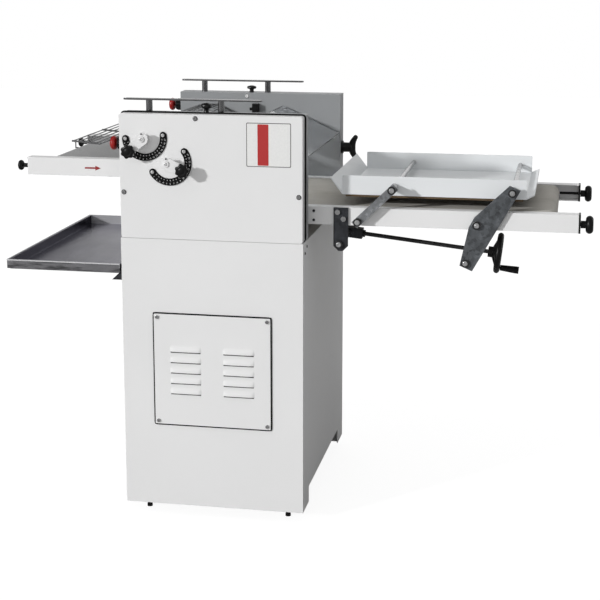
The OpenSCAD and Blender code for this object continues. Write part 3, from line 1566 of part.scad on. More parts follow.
base_cabinet();
access_gasket();
access_panel();
panel_screws();
levelling_feet();
gear_motor();
front_housing();
cover_gasket();
front_cover();
dial_scales();
gap_lever_1();
gap_lever_2();
star_knob_1();
star_knob_2();
rear_housing();
rear_cover();
tray_bars();
lock_knob_front();
lock_knob_rear();
upper_roller();
upper_bearings();
second_roller();
second_bearings();
lower_roller();
wire_guard();
roof_guard();
guard_strips();
interlock_switch();
estop_collars();
estop_button_front();
estop_button_rear();
wing_knob();
infeed_rails();
slider_beds();
infeed_belt();
infeed_tail_roller();
infeed_drive_roller();
infeed_knob_front();
infeed_knob_rear();
outfeed_rails();
outfeed_belt();
outfeed_tail_roller();
outfeed_drive_roller();
outfeed_end_caps();
outfeed_knob_front();
outfeed_knob_rear();
pressure_board();
board_felt();
board_rods();
anchor_brackets();
anchor_block();
spindle_rod();
handwheel();
crank_grip();
board_levers();
nut_bar();
board_links();
pivot_bolts();
catch_tray();
tray_brackets();
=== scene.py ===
"""Looks of a baguette moulder: the stage, the finishes of its solids, and the pieces they leave plain."""

import json
import math

import bpy
import numpy as np
from bpy.props import FloatProperty, FloatVectorProperty, IntProperty, PointerProperty
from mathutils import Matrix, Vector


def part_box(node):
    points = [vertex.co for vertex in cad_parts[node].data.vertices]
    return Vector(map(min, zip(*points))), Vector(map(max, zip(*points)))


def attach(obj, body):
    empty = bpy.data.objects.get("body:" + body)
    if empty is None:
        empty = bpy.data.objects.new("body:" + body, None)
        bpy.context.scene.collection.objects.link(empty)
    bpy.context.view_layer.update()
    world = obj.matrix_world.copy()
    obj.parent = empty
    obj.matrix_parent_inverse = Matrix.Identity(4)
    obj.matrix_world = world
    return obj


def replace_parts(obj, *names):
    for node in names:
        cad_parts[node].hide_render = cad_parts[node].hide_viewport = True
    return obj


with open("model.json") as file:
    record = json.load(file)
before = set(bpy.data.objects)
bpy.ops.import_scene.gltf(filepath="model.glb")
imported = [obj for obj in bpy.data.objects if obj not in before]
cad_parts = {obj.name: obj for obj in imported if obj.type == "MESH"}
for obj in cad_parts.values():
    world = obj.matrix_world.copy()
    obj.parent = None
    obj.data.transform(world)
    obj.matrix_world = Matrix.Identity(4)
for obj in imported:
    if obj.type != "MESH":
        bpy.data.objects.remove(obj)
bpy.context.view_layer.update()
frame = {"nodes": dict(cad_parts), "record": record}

bl_info = {
    "name": "Baguette moulder looks",
    "version": (1, 0, 0),
    "blender": (4, 5, 0),
    "location": "View3D > Sidebar > Moulder",
    "description": "Stage, finishes, belts, lining, knobs and dial numbers of a baguette moulder",
    "category": "Object",
}

MM = 0.001
# The solids' own sizes count from the middle of the cabinet; this carries them to the frame's origin.
BASE_SHIFT = np.array([-254.0, 16.0, 0.0])
SLOT_OF = {row["node"]: row["material_slot"] for row in frame["record"]["subparts"]}

# Places of the solids that the pieces here sit on, in millimetres from the middle of the cabinet, with X before Z.
DIALS = ((-215, 1270), (-135, 1192))
COVER_SCREWS = ((-47, 1335), (-288, 1092), (288, 1092))
HOUSING_TOP = 1347
PANEL_MIDDLE = 505
# Radii on both dials, in millimetres: of the scale, and of the circle on which the star knob's pin runs.
SCALE_RADIUS = 63
PIN_RADIUS = 58
# Where the scale of each dial starts and how far it runs, in degrees from X toward Z, and the body of its lever.
DIAL_STARTS = (183, 210)
DIAL_SWEEP = 186
GAP_BODIES = ("gap_lever_one", "gap_lever_two")
# How far from a bolt's axis, in metres, its own end is looked for.
BOLT_REACH = 0.0145


def at(x, y, z):
    """A point counted in millimetres from the middle of the cabinet, as metres in the frame."""
    return (np.array([x, y, z], float) + BASE_SHIFT) * MM


def on_face(x, z, y):
    """A point with X and Z counted as in at(), on a face that stands at Y in the frame."""
    return at(x, 0, z) * (1, 0, 1) + (0, y, 0)


def on_circle(middle, radius, turn):
    """X and Z of a point on a circle, by its turn in degrees from X toward Z."""
    a = math.radians(turn)
    return middle[0] + radius * math.cos(a), middle[1] + radius * math.sin(a)


def colour(name, text, value):
    """A colour setting with a plain default."""
    return FloatVectorProperty(name=name, description=text, default=value, subtype="COLOR", size=3, min=0, max=1)


def length(name, text, value):
    """A length setting in metres."""
    return FloatProperty(name=name, description=text, default=value, unit="LENGTH", min=0, precision=4)


class StageSettings(bpy.types.PropertyGroup):
    """Camera, lights and floor."""

    eye: FloatVectorProperty(name="Camera place", description="Where the camera stands",
                             default=(0.8740, -4.7835, 1.8531), subtype="TRANSLATION", unit="LENGTH", size=3)
    turn: FloatProperty(name="Camera turn", description="Turn of the camera about the upright, to the left",
                        default=math.radians(10.7738), subtype="ANGLE")
    tip: FloatProperty(name="Camera tip", description="How far the camera looks down",
                       default=math.radians(10.8717), subtype="ANGLE")
    lens: FloatProperty(name="Lens", description="Focal length in millimetres on a 36 mm sensor", default=86.118)
    rise: FloatProperty(name="Shift", description="Vertical shift of the picture", default=-0.12)
    key: FloatProperty(name="Key light", description="Strength of the hard lamp at the front left", default=2.08)
    fill: FloatProperty(name="Fill light", description="Strength of the soft lamp in front", default=0.47)
    top: FloatProperty(name="Top light", description="Strength of the soft lamp overhead", default=0.80)
    back: FloatProperty(name="Back light", description="Strength of the soft lamp behind", default=0.60)
    ambient: FloatProperty(name="Ambient", description="Strength of the light from all round", default=0.235)
    floor_size: length("Floor size", "Half the width of the floor", 14.0)


class FinishSettings(bpy.types.PropertyGroup):
    """Colours of the finishes."""

    paint: colour("White paint", "Powder coat of the cabinet, housings, rails and board", (0.80, 0.80, 0.80))
    grey: colour("Grey paint", "Strips of the clear guard", (0.30, 0.31, 0.32))
    zinc: colour("Dark zinc", "Mottled levers", (0.080, 0.086, 0.093))
    bracket: colour("Bracket zinc", "Dark brackets, bars and blocks of the linkage", (0.024, 0.0255, 0.030))
    link: colour("Link zinc", "Plain links", (0.180, 0.187, 0.195))
    steel: colour("Bright steel", "Rods, wires and bolts", (0.45, 0.45, 0.455))
    stainless: colour("Stainless", "Catch tray", (0.288, 0.284, 0.330))
    skirt: colour("Skirt steel", "Folded rim of the catch tray", (0.365, 0.363, 0.380))
    black: colour("Black plastic", "Knobs and caps", (0.0045, 0.0045, 0.0048))
    red: colour("Red plastic", "Stop buttons", (0.32, 0.010, 0.009))
    belt_in: colour("Infeed belt", "Woven cover of the infeed belt", (0.305, 0.305, 0.310))
    belt_out: colour("Outfeed belt", "Woven cover of the outfeed belt", (0.47, 0.45, 0.41))
    felt: colour("Felt", "Lining of the board", (0.115, 0.080, 0.046))


class FittingSettings(bpy.types.PropertyGroup):
    """Sizes of the pieces made here."""

    belt_step: IntProperty(name="Belt steps", description="Points along each round end of a belt", default=24, min=8)
    belt_thick: length("Belt thickness", "Thickness of both belts", 0.003)
    star_radius: length("Star radius", "Outer radius of a star knob", 0.0236)
    star_lobes: IntProperty(name="Star lobes", description="Lobes of a star knob", default=7, min=5, max=9)
    number_height: length("Number height", "Height of the numbers on the dials", 0.0072)
    number_radius: length("Number radius", "Distance of the numbers from the dial's middle", 0.0690)
    hem_radius: length("Hem radius", "Radius of the rolled edge of the catch tray", 0.0020)
    louvre_out: length("Louvre height", "How far the louvres stand out of the access panel", 0.0046)
    lock_front_tall: length("Front lock knob", "How far the front lock knob stands above its housing", 0.0325)
    lock_rear_tall: length("Rear lock knob", "How far the rear lock knob stands above its housing", 0.0245)
    washer_wide: length("Washer width", "How far a washer shows round its bolt", 0.0050)
    plate_edge: length("Plate edge", "Width of the dark line round the blank plate", 0.0022)


def settings():
    """The three groups of settings on the scene."""
    scene = bpy.context.scene
    return scene.moulder_stage, scene.moulder_finish, scene.moulder_fitting


def shade(rgb, factor, lift=0.0):
    """A colour times a factor plus a lift, held at 1."""
    return tuple(min(1.0, c * factor + lift) for c in rgb)


class Graph:
    """The node tree of one material or world, with short calls for the nodes that the finishes share."""

    def __init__(self, name, store="materials"):
        self.owner = getattr(bpy.data, store).new(name)
        self.owner.use_nodes = True
        self.tree = self.owner.node_tree
        self.shader = self.tree.nodes.get("Principled BSDF")
        self.coordinates = self.add("ShaderNodeTexCoord").outputs
        self.place = self.coordinates["Object"]

    def add(self, kind, inputs=None, **values):
        """A node with its settings; inputs maps socket names to constants or to outputs of other nodes."""
        node = self.tree.nodes.new(kind)
        for key, value in values.items():
            setattr(node, key, value)
        for key, value in (inputs or {}).items():
            if isinstance(value, bpy.types.NodeSocket):
                self.tree.links.new(value, node.inputs[key])
            else:
                node.inputs[key].default_value = value
        return node

    def into(self, socket, output):
        """Carries an output to a socket of the shader."""
        self.tree.links.new(output, self.shader.inputs[socket])

    def coat(self, tone, rough):
        """Carries a colour and a roughness to the shader."""
        self.into("Base Color", tone)
        self.into("Roughness", rough)

    def surface(self, output):
        """Makes a shader the one that shows."""
        end = next(node for node in self.tree.nodes if node.bl_idname.startswith("ShaderNodeOutput"))
        self.tree.links.new(output, end.inputs["Surface"])

    def done(self, **sockets):
        """Sets constants on the shader's own sockets, with _ for a blank in a socket's name; gives the material."""
        for key, value in sockets.items():
            self.shader.inputs[key.replace("_", " ")].default_value = value
        return self.owner

    def stretch(self, scale, turn=(0, 0, 0)):
        """Coordinates turned and scaled per axis."""
        inputs = {"Vector": self.place, "Scale": scale, "Rotation": turn}
        return self.add("ShaderNodeMapping", inputs).outputs[0]

    def noise(self, scale, detail=3.0, rough=0.55, source=None):
        """Smooth noise; scale is in patches per metre."""
        inputs = {"Vector": source or self.place, "Scale": scale, "Detail": detail, "Roughness": rough}
        return self.add("ShaderNodeTexNoise", inputs).outputs["Fac"]

    def ramp(self, value, stops):
        """Colours laid over a value from 0 to 1; stops are (place, rgb)."""
        node = self.add("ShaderNodeValToRGB", {"Fac": value})
        marks = node.color_ramp.elements
        while len(marks) < len(stops):
            marks.new(0.5)
        for mark, (place, rgb) in zip(marks, stops):
            mark.position = place
            mark.color = (*rgb, 1)
        return node.outputs["Color"]

    def shades(self, value, rgb, *stops):
        """Lighter and darker shades of one colour laid over a value; stops are (place, factor)."""
        return self.ramp(value, [(place, shade(rgb, factor)) for place, factor in stops])

    def span(self, value, low, high, start=0.3, stop=0.7):
        """A value carried from start..stop to low..high."""
        inputs = {"Value": value, "From Min": start, "From Max": stop, "To Min": low, "To Max": high}
        return self.add("ShaderNodeMapRange", inputs).outputs["Result"]

    def math(self, kind, a, b=0.0):
        """One sum on two values."""
        return self.add("ShaderNodeMath", {0: a, 1: b}, operation=kind).outputs[0]

    def weigh(self, a, share_a, b, share_b):
        """Two values added, each times its share."""
        return self.math("ADD", self.math("MULTIPLY", a, share_a), self.math("MULTIPLY", b, share_b))

    def axes(self, vector):
        """The X, Y and Z of a vector."""
        return self.add("ShaderNodeSeparateXYZ", {0: vector}).outputs

    def mix(self, share, a, b):
        """Colour a where share is 0, b where it is 1."""
        a, b = ((*c, 1) if isinstance(c, tuple) else c for c in (a, b))
        return self.add("ShaderNodeMix", {0: share, 6: a, 7: b}, data_type="RGBA").outputs[2]

    def either(self, share, a, b):
        """Shader a where share is 0, b where it is 1."""
        return self.add("ShaderNodeMixShader", {0: share, 1: a, 2: b}).outputs[0]

    def normal(self):
        """The true normal of the face."""
        return self.add("ShaderNodeNewGeometry").outputs["Normal"]

    def soft_edge(self, radius):
        """Normal rounded over the edges of the solid."""
        return self.add("ShaderNodeBevel", {"Radius": radius}, samples=6).outputs["Normal"]

    def worn(self, tone, rounded, share, rgb):
        """A tone that turns to another colour by a share along the edges, where the dot of the rounded and the true
        normal falls below one: edge wear, and on the dark zinc also a painted edge highlight."""
        pair = {0: rounded, 1: self.normal()}
        dot = self.add("ShaderNodeVectorMath", pair, operation="DOT_PRODUCT").outputs["Value"]
        return self.mix(self.math("MULTIPLY", self.span(dot, 1.0, 0.0, 0.75, 0.995), share), tone, rgb)

    def bump(self, height, strength, depth, normal=None):
        """Relief of the surface from a height value."""
        inputs = {"Height": height, "Strength": strength, "Distance": depth}
        if normal is not None:
            inputs["Normal"] = normal
        self.into("Normal", self.add("ShaderNodeBump", inputs).outputs["Normal"])


def powder_coat(name, rgb, edge=0.0015, shaded_openings=False):
    """Satin powder coat: fine orange peel, faint clouds, darker in patches towards the bottom and a little wear along
    edges; with shaded openings, painted near black where the mesh says that an opening lies, as painted shade of the
    dark inside behind it."""
    g = Graph(name)
    rounded = g.soft_edge(edge)
    tone = g.shades(g.noise(2.2, 4), rgb, (0.3, 0.975), (0.7, 1.012))
    # Darker in patches towards the bottom.
    darker_low_down = g.math("MULTIPLY", g.span(g.axes(g.place)["Z"], 0.35, 0.0, 0.02, 0.45), g.noise(9.0, 5))
    tone = g.mix(darker_low_down, tone, shade(rgb, 0.86))
    tone = g.worn(tone, rounded, 0.16, shade(rgb, 0.80))
    # Painted shade: the openings are painted near black for the dark inside behind them.
    if shaded_openings:
        opening = g.add("ShaderNodeAttribute", attribute_name="opening").outputs["Fac"]
        tone = g.mix(opening, tone, shade(rgb, 0.04))
    g.coat(tone, g.span(g.noise(28.0, 4), 0.36, 0.47))
    g.bump(g.weigh(g.noise(620.0, 2), 1.0, g.noise(60.0, 2), 0.6), 0.10, 0.0004, rounded)
    return g.done(Specular_IOR_Level=0.42)


def moulded(name, rgb, rough, edge, specular=0.5, mottle=0.18):
    """Moulded plastic: grained skin, paler worn edges."""
    g = Graph(name)
    rounded = g.soft_edge(edge)
    tone = g.shades(g.noise(45.0, 4), rgb, (0.3, 1 - mottle), (0.7, 1 + mottle))
    tone = g.worn(tone, rounded, 0.35, shade(rgb, 1.5, 0.006))
    g.coat(tone, g.span(g.noise(120.0, 4), rough - 0.06, rough + 0.08))
    g.bump(g.noise(1500.0, 2), 0.12, 0.0003, rounded)
    return g.done(Specular_IOR_Level=specular)


def plated(name, rgb, rough=0.24, grain=(40, 900, 900), metal=1.0, mottle=0.10):
    """Plated or drawn steel: fine lines along one axis, clouded tone, brighter edges."""
    g = Graph(name)
    rounded = g.soft_edge(0.0007)
    lines = g.noise(1.0, 3, source=g.stretch(grain))
    cloud = g.noise(26.0, 5)
    tone = g.shades(cloud, rgb, (0.28, 1 - 2 * mottle), (0.5, 1), (0.72, 1 + mottle))
    tone = g.mix(g.span(lines, 0.0, 0.25), tone, shade(rgb, 0.75))
    tone = g.worn(tone, rounded, 0.4, shade(rgb, 1.3))
    g.coat(tone, g.span(g.weigh(lines, 0.5, cloud, 0.5), rough - 0.06, rough + 0.12))
    g.bump(lines, 0.08, 0.0003, rounded)
    return g.done(Metallic=metal)


def galvanised(name, rgb):
    """Dark hot-dip zinc: crystal patches of differing grey, cloudy stains, and pale edges that are scuffs and a painted
    edge highlight.
    """
    g = Graph(name)
    rounded = g.soft_edge(0.0009)
    drift = g.add("ShaderNodeTexNoise", {"Vector": g.place, "Scale": 60.0, "Detail": 2.0}).outputs["Color"]
    drift = g.add("ShaderNodeVectorMath", {0: drift, "Scale": 0.012}, operation="SCALE").outputs[0]
    warped = g.add("ShaderNodeVectorMath", {0: g.place, 1: drift}).outputs[0]
    crystal = g.add("ShaderNodeTexVoronoi", {"Vector": warped, "Scale": 95.0}).outputs["Color"]
    patch = g.add("ShaderNodeSeparateColor", {0: crystal}).outputs[0]
    value = g.weigh(patch, 0.22, g.noise(16.0, 6, 0.65), 0.78)
    tone = g.shades(value, rgb, (0.26, 0.45), (0.44, 0.92), (0.58, 1.25), (0.74, 2.0))
    # Paler edges: scuffs and a painted edge highlight.
    tone = g.worn(tone, rounded, 0.45, shade(rgb, 2.2))
    g.coat(tone, g.span(value, 0.36, 0.62, 0.2, 0.8))
    g.bump(g.weigh(patch, 0.4, g.noise(300.0, 3), 1.0), 0.15, 0.0004, rounded)
    return g.done(Metallic=0.3, Specular_IOR_Level=0.4)


def brushed_sheet(name, rgb, marks):
    """Brushed stainless sheet: long fine lines, wipe marks, and slow waves of thin sheet that bend its reflections.
    The function marks adds the painted shade, reflections and highlights that one piece shows, and says where the sheet
    is made less like bare metal."""
    g = Graph(name)
    rounded = g.soft_edge(0.0012)
    lines = g.noise(1.0, 4, source=g.stretch((12, 900, 900)))
    wipe = g.noise(5.0, 5, 0.6)
    tone = g.shades(wipe, rgb, (0.25, 0.80), (0.55, 1), (0.8, 1.15))
    tone = g.mix(g.span(lines, 0.0, 0.18), tone, shade(rgb, 0.72))
    tone = g.worn(tone, rounded, 0.6, shade(rgb, 2.0))
    # Painted shade, reflections and highlights from the piece's own marks function.
    tone, painted_light_share = marks(g, tone, rgb)
    g.coat(tone, g.span(g.weigh(wipe, 0.6, lines, 0.4), 0.16, 0.28))
    g.into("Metallic", g.math("SUBTRACT", 1.0, painted_light_share))
    waves = g.noise(1.0, 2, source=g.stretch((9, 4, 30)))
    g.bump(g.weigh(waves, 1.0, lines, 0.03), 0.30, 0.006, rounded)
    return g.done(Anisotropic=0.35)


def tray_walls(g, tone, rgb):
    """Painted light on the tray's walls: those square to X are painted near black, as painted shade and dark
    reflection, and those square to Y a pale grey with less metal, as painted reflection of the bright front.
    """
    normal = g.axes(g.normal())
    # Walls square to X painted near black with little specular tint: painted shade and dark reflection.
    dark = g.span(g.math("ABSOLUTE", normal["X"]), 0.0, 0.58, 0.4, 0.7)
    # Walls square to Y painted pale and made less metal: painted reflection of the bright front.
    pale_reflection = g.span(g.math("ABSOLUTE", normal["Y"]), 0.0, 0.65, 0.6, 0.9)
    g.into("Specular Tint", g.mix(dark, (1.0, 1.0, 1.0), (0.05, 0.05, 0.05)))
    tone = g.mix(pale_reflection, tone, (0.70, 0.70, 0.715))
    return g.mix(dark, tone, shade(rgb, 0.04)), pale_reflection


def skirt_runs(g, tone, rgb):
    """The tray's skirt: painted reflections, dark and light runs along it, and a painted highlight, a bright line with
    less metal on the rolled edge.
    """
    runs = g.noise(1.0, 4, 0.6, g.stretch((14, 14, 110), (0, 0.06, 0)))
    # Painted reflections: darker runs along the skirt.
    tone = g.mix(g.span(runs, 0.88, 0.0, 0.36, 0.54), tone, shade(rgb, 0.22))
    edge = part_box("catch_tray")[1].z - 0.0034
    # Painted highlight: a pale line at the height of the rolled edge.
    bright = g.span(g.axes(g.place)["Z"], 0.0, 1.0, edge, edge + 0.0006)
    return g.mix(bright, tone, (0.92, 0.92, 0.93)), g.math("MULTIPLY", bright, 0.7)


def turned_metal(name, rgb):
    """Turned metal: fine rings across the axis, which runs along Y."""
    g = Graph(name)
    rings = g.noise(1.0, 2, source=g.stretch((2, 2600, 2)))
    tone = g.shades(g.noise(18.0, 4), rgb, (0.3, 0.85), (0.7, 1.1))
    tone = g.mix(g.span(rings, 0.0, 0.3), tone, shade(rgb, 0.7))
    g.coat(tone, g.span(rings, 0.23, 0.42))
    g.bump(rings, 0.12, 0.0002, g.soft_edge(0.0008))
    return g.done(Metallic=1.0)


def matt_rubber(name, rgb):
    """Rubber seal: dull, dusty, finely pitted."""
    g = Graph(name)
    g.coat(g.shades(g.noise(70.0, 5), rgb, (0.3, 0.7), (0.7, 1.5)), g.span(g.noise(200.0, 3), 0.62, 0.82))
    g.bump(g.noise(1200.0, 2), 0.2, 0.0003, g.soft_edge(0.0008))
    return g.done(Specular_IOR_Level=0.12)


def cast_paint(name, rgb):
    """Painted casting: grainy skin with darker hollows."""
    g = Graph(name)
    g.coat(g.shades(g.noise(30.0, 5), rgb, (0.3, 0.7), (0.7, 1.15)), g.span(g.noise(80.0, 4), 0.45, 0.62))
    g.bump(g.noise(420.0, 4), 0.35, 0.0006, g.soft_edge(0.0015))
    return g.done()


def clear_plastic(name):
    """Clear sheet: faint scratches and a soft haze."""
    g = Graph(name)
    scratch = g.noise(1.0, 3, source=g.stretch((30, 700, 30)))
    haze = g.ramp(g.noise(4.0, 3), [(0.3, (0.86, 0.88, 0.90)), (0.7, (0.92, 0.93, 0.94))])
    g.coat(haze, g.span(scratch, 0.02, 0.10))
    g.bump(g.noise(3.0, 2), 0.02, 0.001)
    return g.done(Transmission_Weight=1.0, IOR=1.12)


def woven(name, rgb, pitch, stain):
    """Woven belting: plain weave from two crossed waves over the band's own map in metres, with floury stains."""
    g = Graph(name)
    band = g.axes(g.add("ShaderNodeUVMap", uv_map="band").outputs[0])
    warp, weft = (g.math("SINE", g.math("MULTIPLY", band[axis], 2 * math.pi / pitch)) for axis in "XY")
    weave = g.math("MULTIPLY", warp, weft)
    cloud = g.noise(7.0, 6, 0.6)
    tone = g.ramp(cloud, [(0.28, stain), (0.5, rgb), (0.75, shade(rgb, 1.1))])
    tone = g.mix(g.span(weave, 0.0, 0.35, -0.2, 1.0), tone, shade(rgb, 0.62))
    g.coat(tone, g.span(cloud, 0.72, 0.9))
    g.bump(g.weigh(weave, 0.5, g.noise(1400.0, 2), 0.4), 0.45, 0.0005)
    return g.done(Specular_IOR_Level=0.2, Sheen_Weight=0.1)


def felted(name, rgb):
    """Pressed felt: matted fibres and a soft sheen."""
    g = Graph(name)
    fibre = g.noise(1.0, 4, 0.7, g.stretch((500, 160, 500)))
    g.coat(g.shades(fibre, rgb, (0.3, 0.55), (0.55, 1), (0.75, 1.9)), g.span(fibre, 0.85, 0.98))
    g.bump(fibre, 0.7, 0.0012)
    return g.done(Specular_IOR_Level=0.1, Sheen_Weight=0.25)


def printed(name, rgb):
    """Flat printed ink with a faint grain."""
    g = Graph(name)
    g.coat(g.shades(g.noise(240.0, 3), rgb, (0.3, 0.965), (0.7, 1.02)), g.span(g.noise(90.0, 3), 0.36, 0.5))
    g.bump(g.noise(900.0, 2), 0.05, 0.0002)
    return g.done()


def skin(rows, columns, wrap_rows, wrap_columns):
    """Four-cornered faces between neighbouring points of a grid; a wrapped side joins its last line to its first."""
    i = np.arange(rows if wrap_rows else rows - 1)
    j = np.arange(columns if wrap_columns else columns - 1)
    a, b = (m.ravel() for m in np.meshgrid(i, j, indexing="ij"))
    a2, b2 = (a + 1) % rows, (b + 1) % columns
    return np.stack([a * columns + b, a2 * columns + b, a2 * columns + b2, a * columns + b2], -1)


def rim(numbers):
    """The outer loop of a grid of point numbers, along its first axis and then round."""
    return np.concatenate([numbers[:, 0], numbers[-1, 1:], numbers[-2::-1, -1], numbers[0, -2:0:-1]])


def close_rings(rings, first_tip, last_tip):
    """Rings of points joined into a skin, whose two ends meet in one point each."""
    rows, steps = rings.shape[:2]
    count = rows * steps
    points = np.concatenate([rings.reshape(-1, 3), [first_tip, last_tip]])
    first = np.arange(steps)
    after, tip, last = (first + 1) % steps, 0 * first + count, count - steps
    fans = [np.stack([after, first, tip], -1), np.stack([last + first, last + after, tip + 1], -1)]
    return points, [*skin(rows, steps, False, True)[:, ::-1].tolist(), *np.concatenate(fans).tolist()]


def lathe(profile, steps, swell=None):
    """A profile of (height, radius) turned about Z: point = (r cos a, r sin a, h), r grown by swell(a, row).
    The first and last profile points lie on the axis and close the ends."""
    profile = np.asarray(profile, float)
    angle = np.linspace(0, 2 * np.pi, steps, endpoint=False)
    height, radius = profile[1:-1].T
    radius = radius[:, None] * np.ones(steps)
    if swell is not None:
        radius = radius * swell(angle[None, :], np.arange(len(height))[:, None])
    rings = np.stack([radius * np.cos(angle), radius * np.sin(angle), height[:, None] + 0 * radius], -1)
    return close_rings(rings, [0, 0, profile[0, 0]], [0, 0, profile[-1, 0]])


def right_of(path, closed):
    """Unit directions to the right of a flat path."""
    step = np.roll(path, -1, 0) - np.roll(path, 1, 0) if closed else np.gradient(path, axis=0)
    return np.stack([step[:, 1], -step[:, 0]], -1) / np.linalg.norm(step, axis=1)[:, None]


def carry(path, outward, offset, level, closed):
    """A closed section carried along a flat path: point = (path + outward * offset, level), with offsets and levels
    for the section alone or for each point of the path. The section itself closes the ends of an open path."""
    rows, steps = len(path), offset.shape[-1]
    flat = path[:, None] + outward[:, None] * np.broadcast_to(offset, (rows, steps))[..., None]
    points = np.concatenate([flat, np.broadcast_to(level, (rows, steps))[..., None]], -1).reshape(-1, 3)
    faces = skin(rows, steps, closed, True).tolist()
    if not closed:
        ends = np.arange(rows * steps).reshape(rows, steps)[[0, -1]]
        faces += [ends[0].tolist(), ends[1, ::-1].tolist()]
    return points, faces


def stand(shape, origin, along=(0, -1, 0), across=(1, 0, 0), stretch=1.0):
    """A shape about Z carried to an origin, with its stretched Z along one direction and X square across it."""
    turn = np.stack([across, np.cross(along, across), along])
    return origin + shape[0] * (1, 1, stretch) @ turn, shape[1]


def slab(outline, depth):
    """A flat outline in X and Y carried along Z from 0 to depth, closed by its two faces."""
    n = len(outline)
    points = np.concatenate([np.c_[outline, np.zeros(n)], np.c_[outline, np.full(n, depth)]])
    faces = skin(2, n, False, True)[:, ::-1].tolist()
    return points, faces + [list(range(n))[::-1], list(range(n, 2 * n))]


def rounded_box(width, height, radius, steps=6):
    """Outline of a rectangle about its middle with round corners: corner middle plus radius times (cos, sin)."""
    a = np.linspace(0, np.pi / 2, steps)
    arcs = [np.stack([radius * np.cos(a + q * np.pi / 2) + sx * (width / 2 - radius),
                      radius * np.sin(a + q * np.pi / 2) + sy * (height / 2 - radius)], -1)
            for q, (sx, sy) in enumerate([(1, 1), (-1, 1), (-1, -1), (1, -1)])]
    return np.concatenate(arcs)


def socket_cap(radius):
    """A low domed head turned about Z with a six-sided socket: in the socket's rows the radius is that of a hexagon,
    cos 30 over cos of the angle to the nearest flat."""
    # Height, share of the radius, and 1 in the socket.
    table = np.array([(0, 0, 0), (0, 1.0, 0), (0.0009, 1.0, 0), (0.0015, 0.93, 0), (0.0019, 0.80, 0),
                      (0.0020, 0.62, 0), (0.0019, 0.50, 1), (0.0003, 0.48, 1), (0.0003, 0, 0)])

    def swell(angle, row):
        flat = (angle + np.pi / 6) % (np.pi / 3) - np.pi / 6
        return 1 + table[1:-1, 2][row] * (math.cos(np.pi / 6) / np.cos(flat) - 1)

    return lathe(table[:, :2] * (1, radius), 48, swell)


def washer(radius, wide):
    """A flat washer round a head: a small section with a broken edge carried round Z."""
    turn = np.linspace(0, 2 * np.pi, 64, endpoint=False)
    inner, outer, deep = radius * 1.02, radius + wide, 0.0012
    section = np.array([(inner, 0), (outer, 0), (outer, deep * 0.6), (outer - deep * 0.4, deep), (inner, deep)])
    return carry(np.zeros((64, 2)), np.stack([np.cos(turn), np.sin(turn)], -1), *section.T, True)


def join(parts):
    """Several shapes as one list of points and faces."""
    points, faces, start = [], [], 0
    for p, f in parts:
        points.append(p)
        faces += [[v + start for v in face] for face in f]
        start += len(p)
    return np.concatenate(points), faces


def piece(name, shape, finish, body, sharp=35.0, uv=None):
    """A mesh object from points and faces, finished, riding on a body."""
    points, faces = shape
    mesh = bpy.data.meshes.new(name)
    mesh.from_pydata(points.tolist(), [], faces)
    mesh.polygons.foreach_set("use_smooth", np.ones(len(mesh.polygons), bool))
    mesh.set_sharp_from_angle(angle=math.radians(sharp))
    if uv is not None:
        layer = mesh.uv_layers.new(name="band")
        corner = np.zeros(len(mesh.loops), np.int32)
        mesh.loops.foreach_get("vertex_index", corner)
        layer.data.foreach_set("uv", uv[corner].astype(np.float32).ravel())
    mesh.validate()
    mesh.materials.append(finish)
    thing = bpy.data.objects.new(name, mesh)
    bpy.context.scene.collection.objects.link(thing)
    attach(thing, body)
    return thing


def points_of(mesh):
    """The points of a mesh as rows of X, Y and Z."""
    points = np.zeros(len(mesh.vertices) * 3)
    mesh.vertices.foreach_get("co", points)
    return points.reshape(-1, 3)


def reach(node, x, z, near, far, side=-1):
    """The place, with X and Z counted as in at(), where a solid ends at the front (side -1) or the rear (1): its Y is
    that of the outermost of the solid's points between two distances from the axis along Y."""
    place = on_face(x, z, 0)
    points = points_of(frame["nodes"][node].data)
    distance = np.hypot(points[:, 0] - place[0], points[:, 2] - place[2])
    place[1] = side * (side * points[(distance >= near) & (distance < far), 1]).max()
    return place


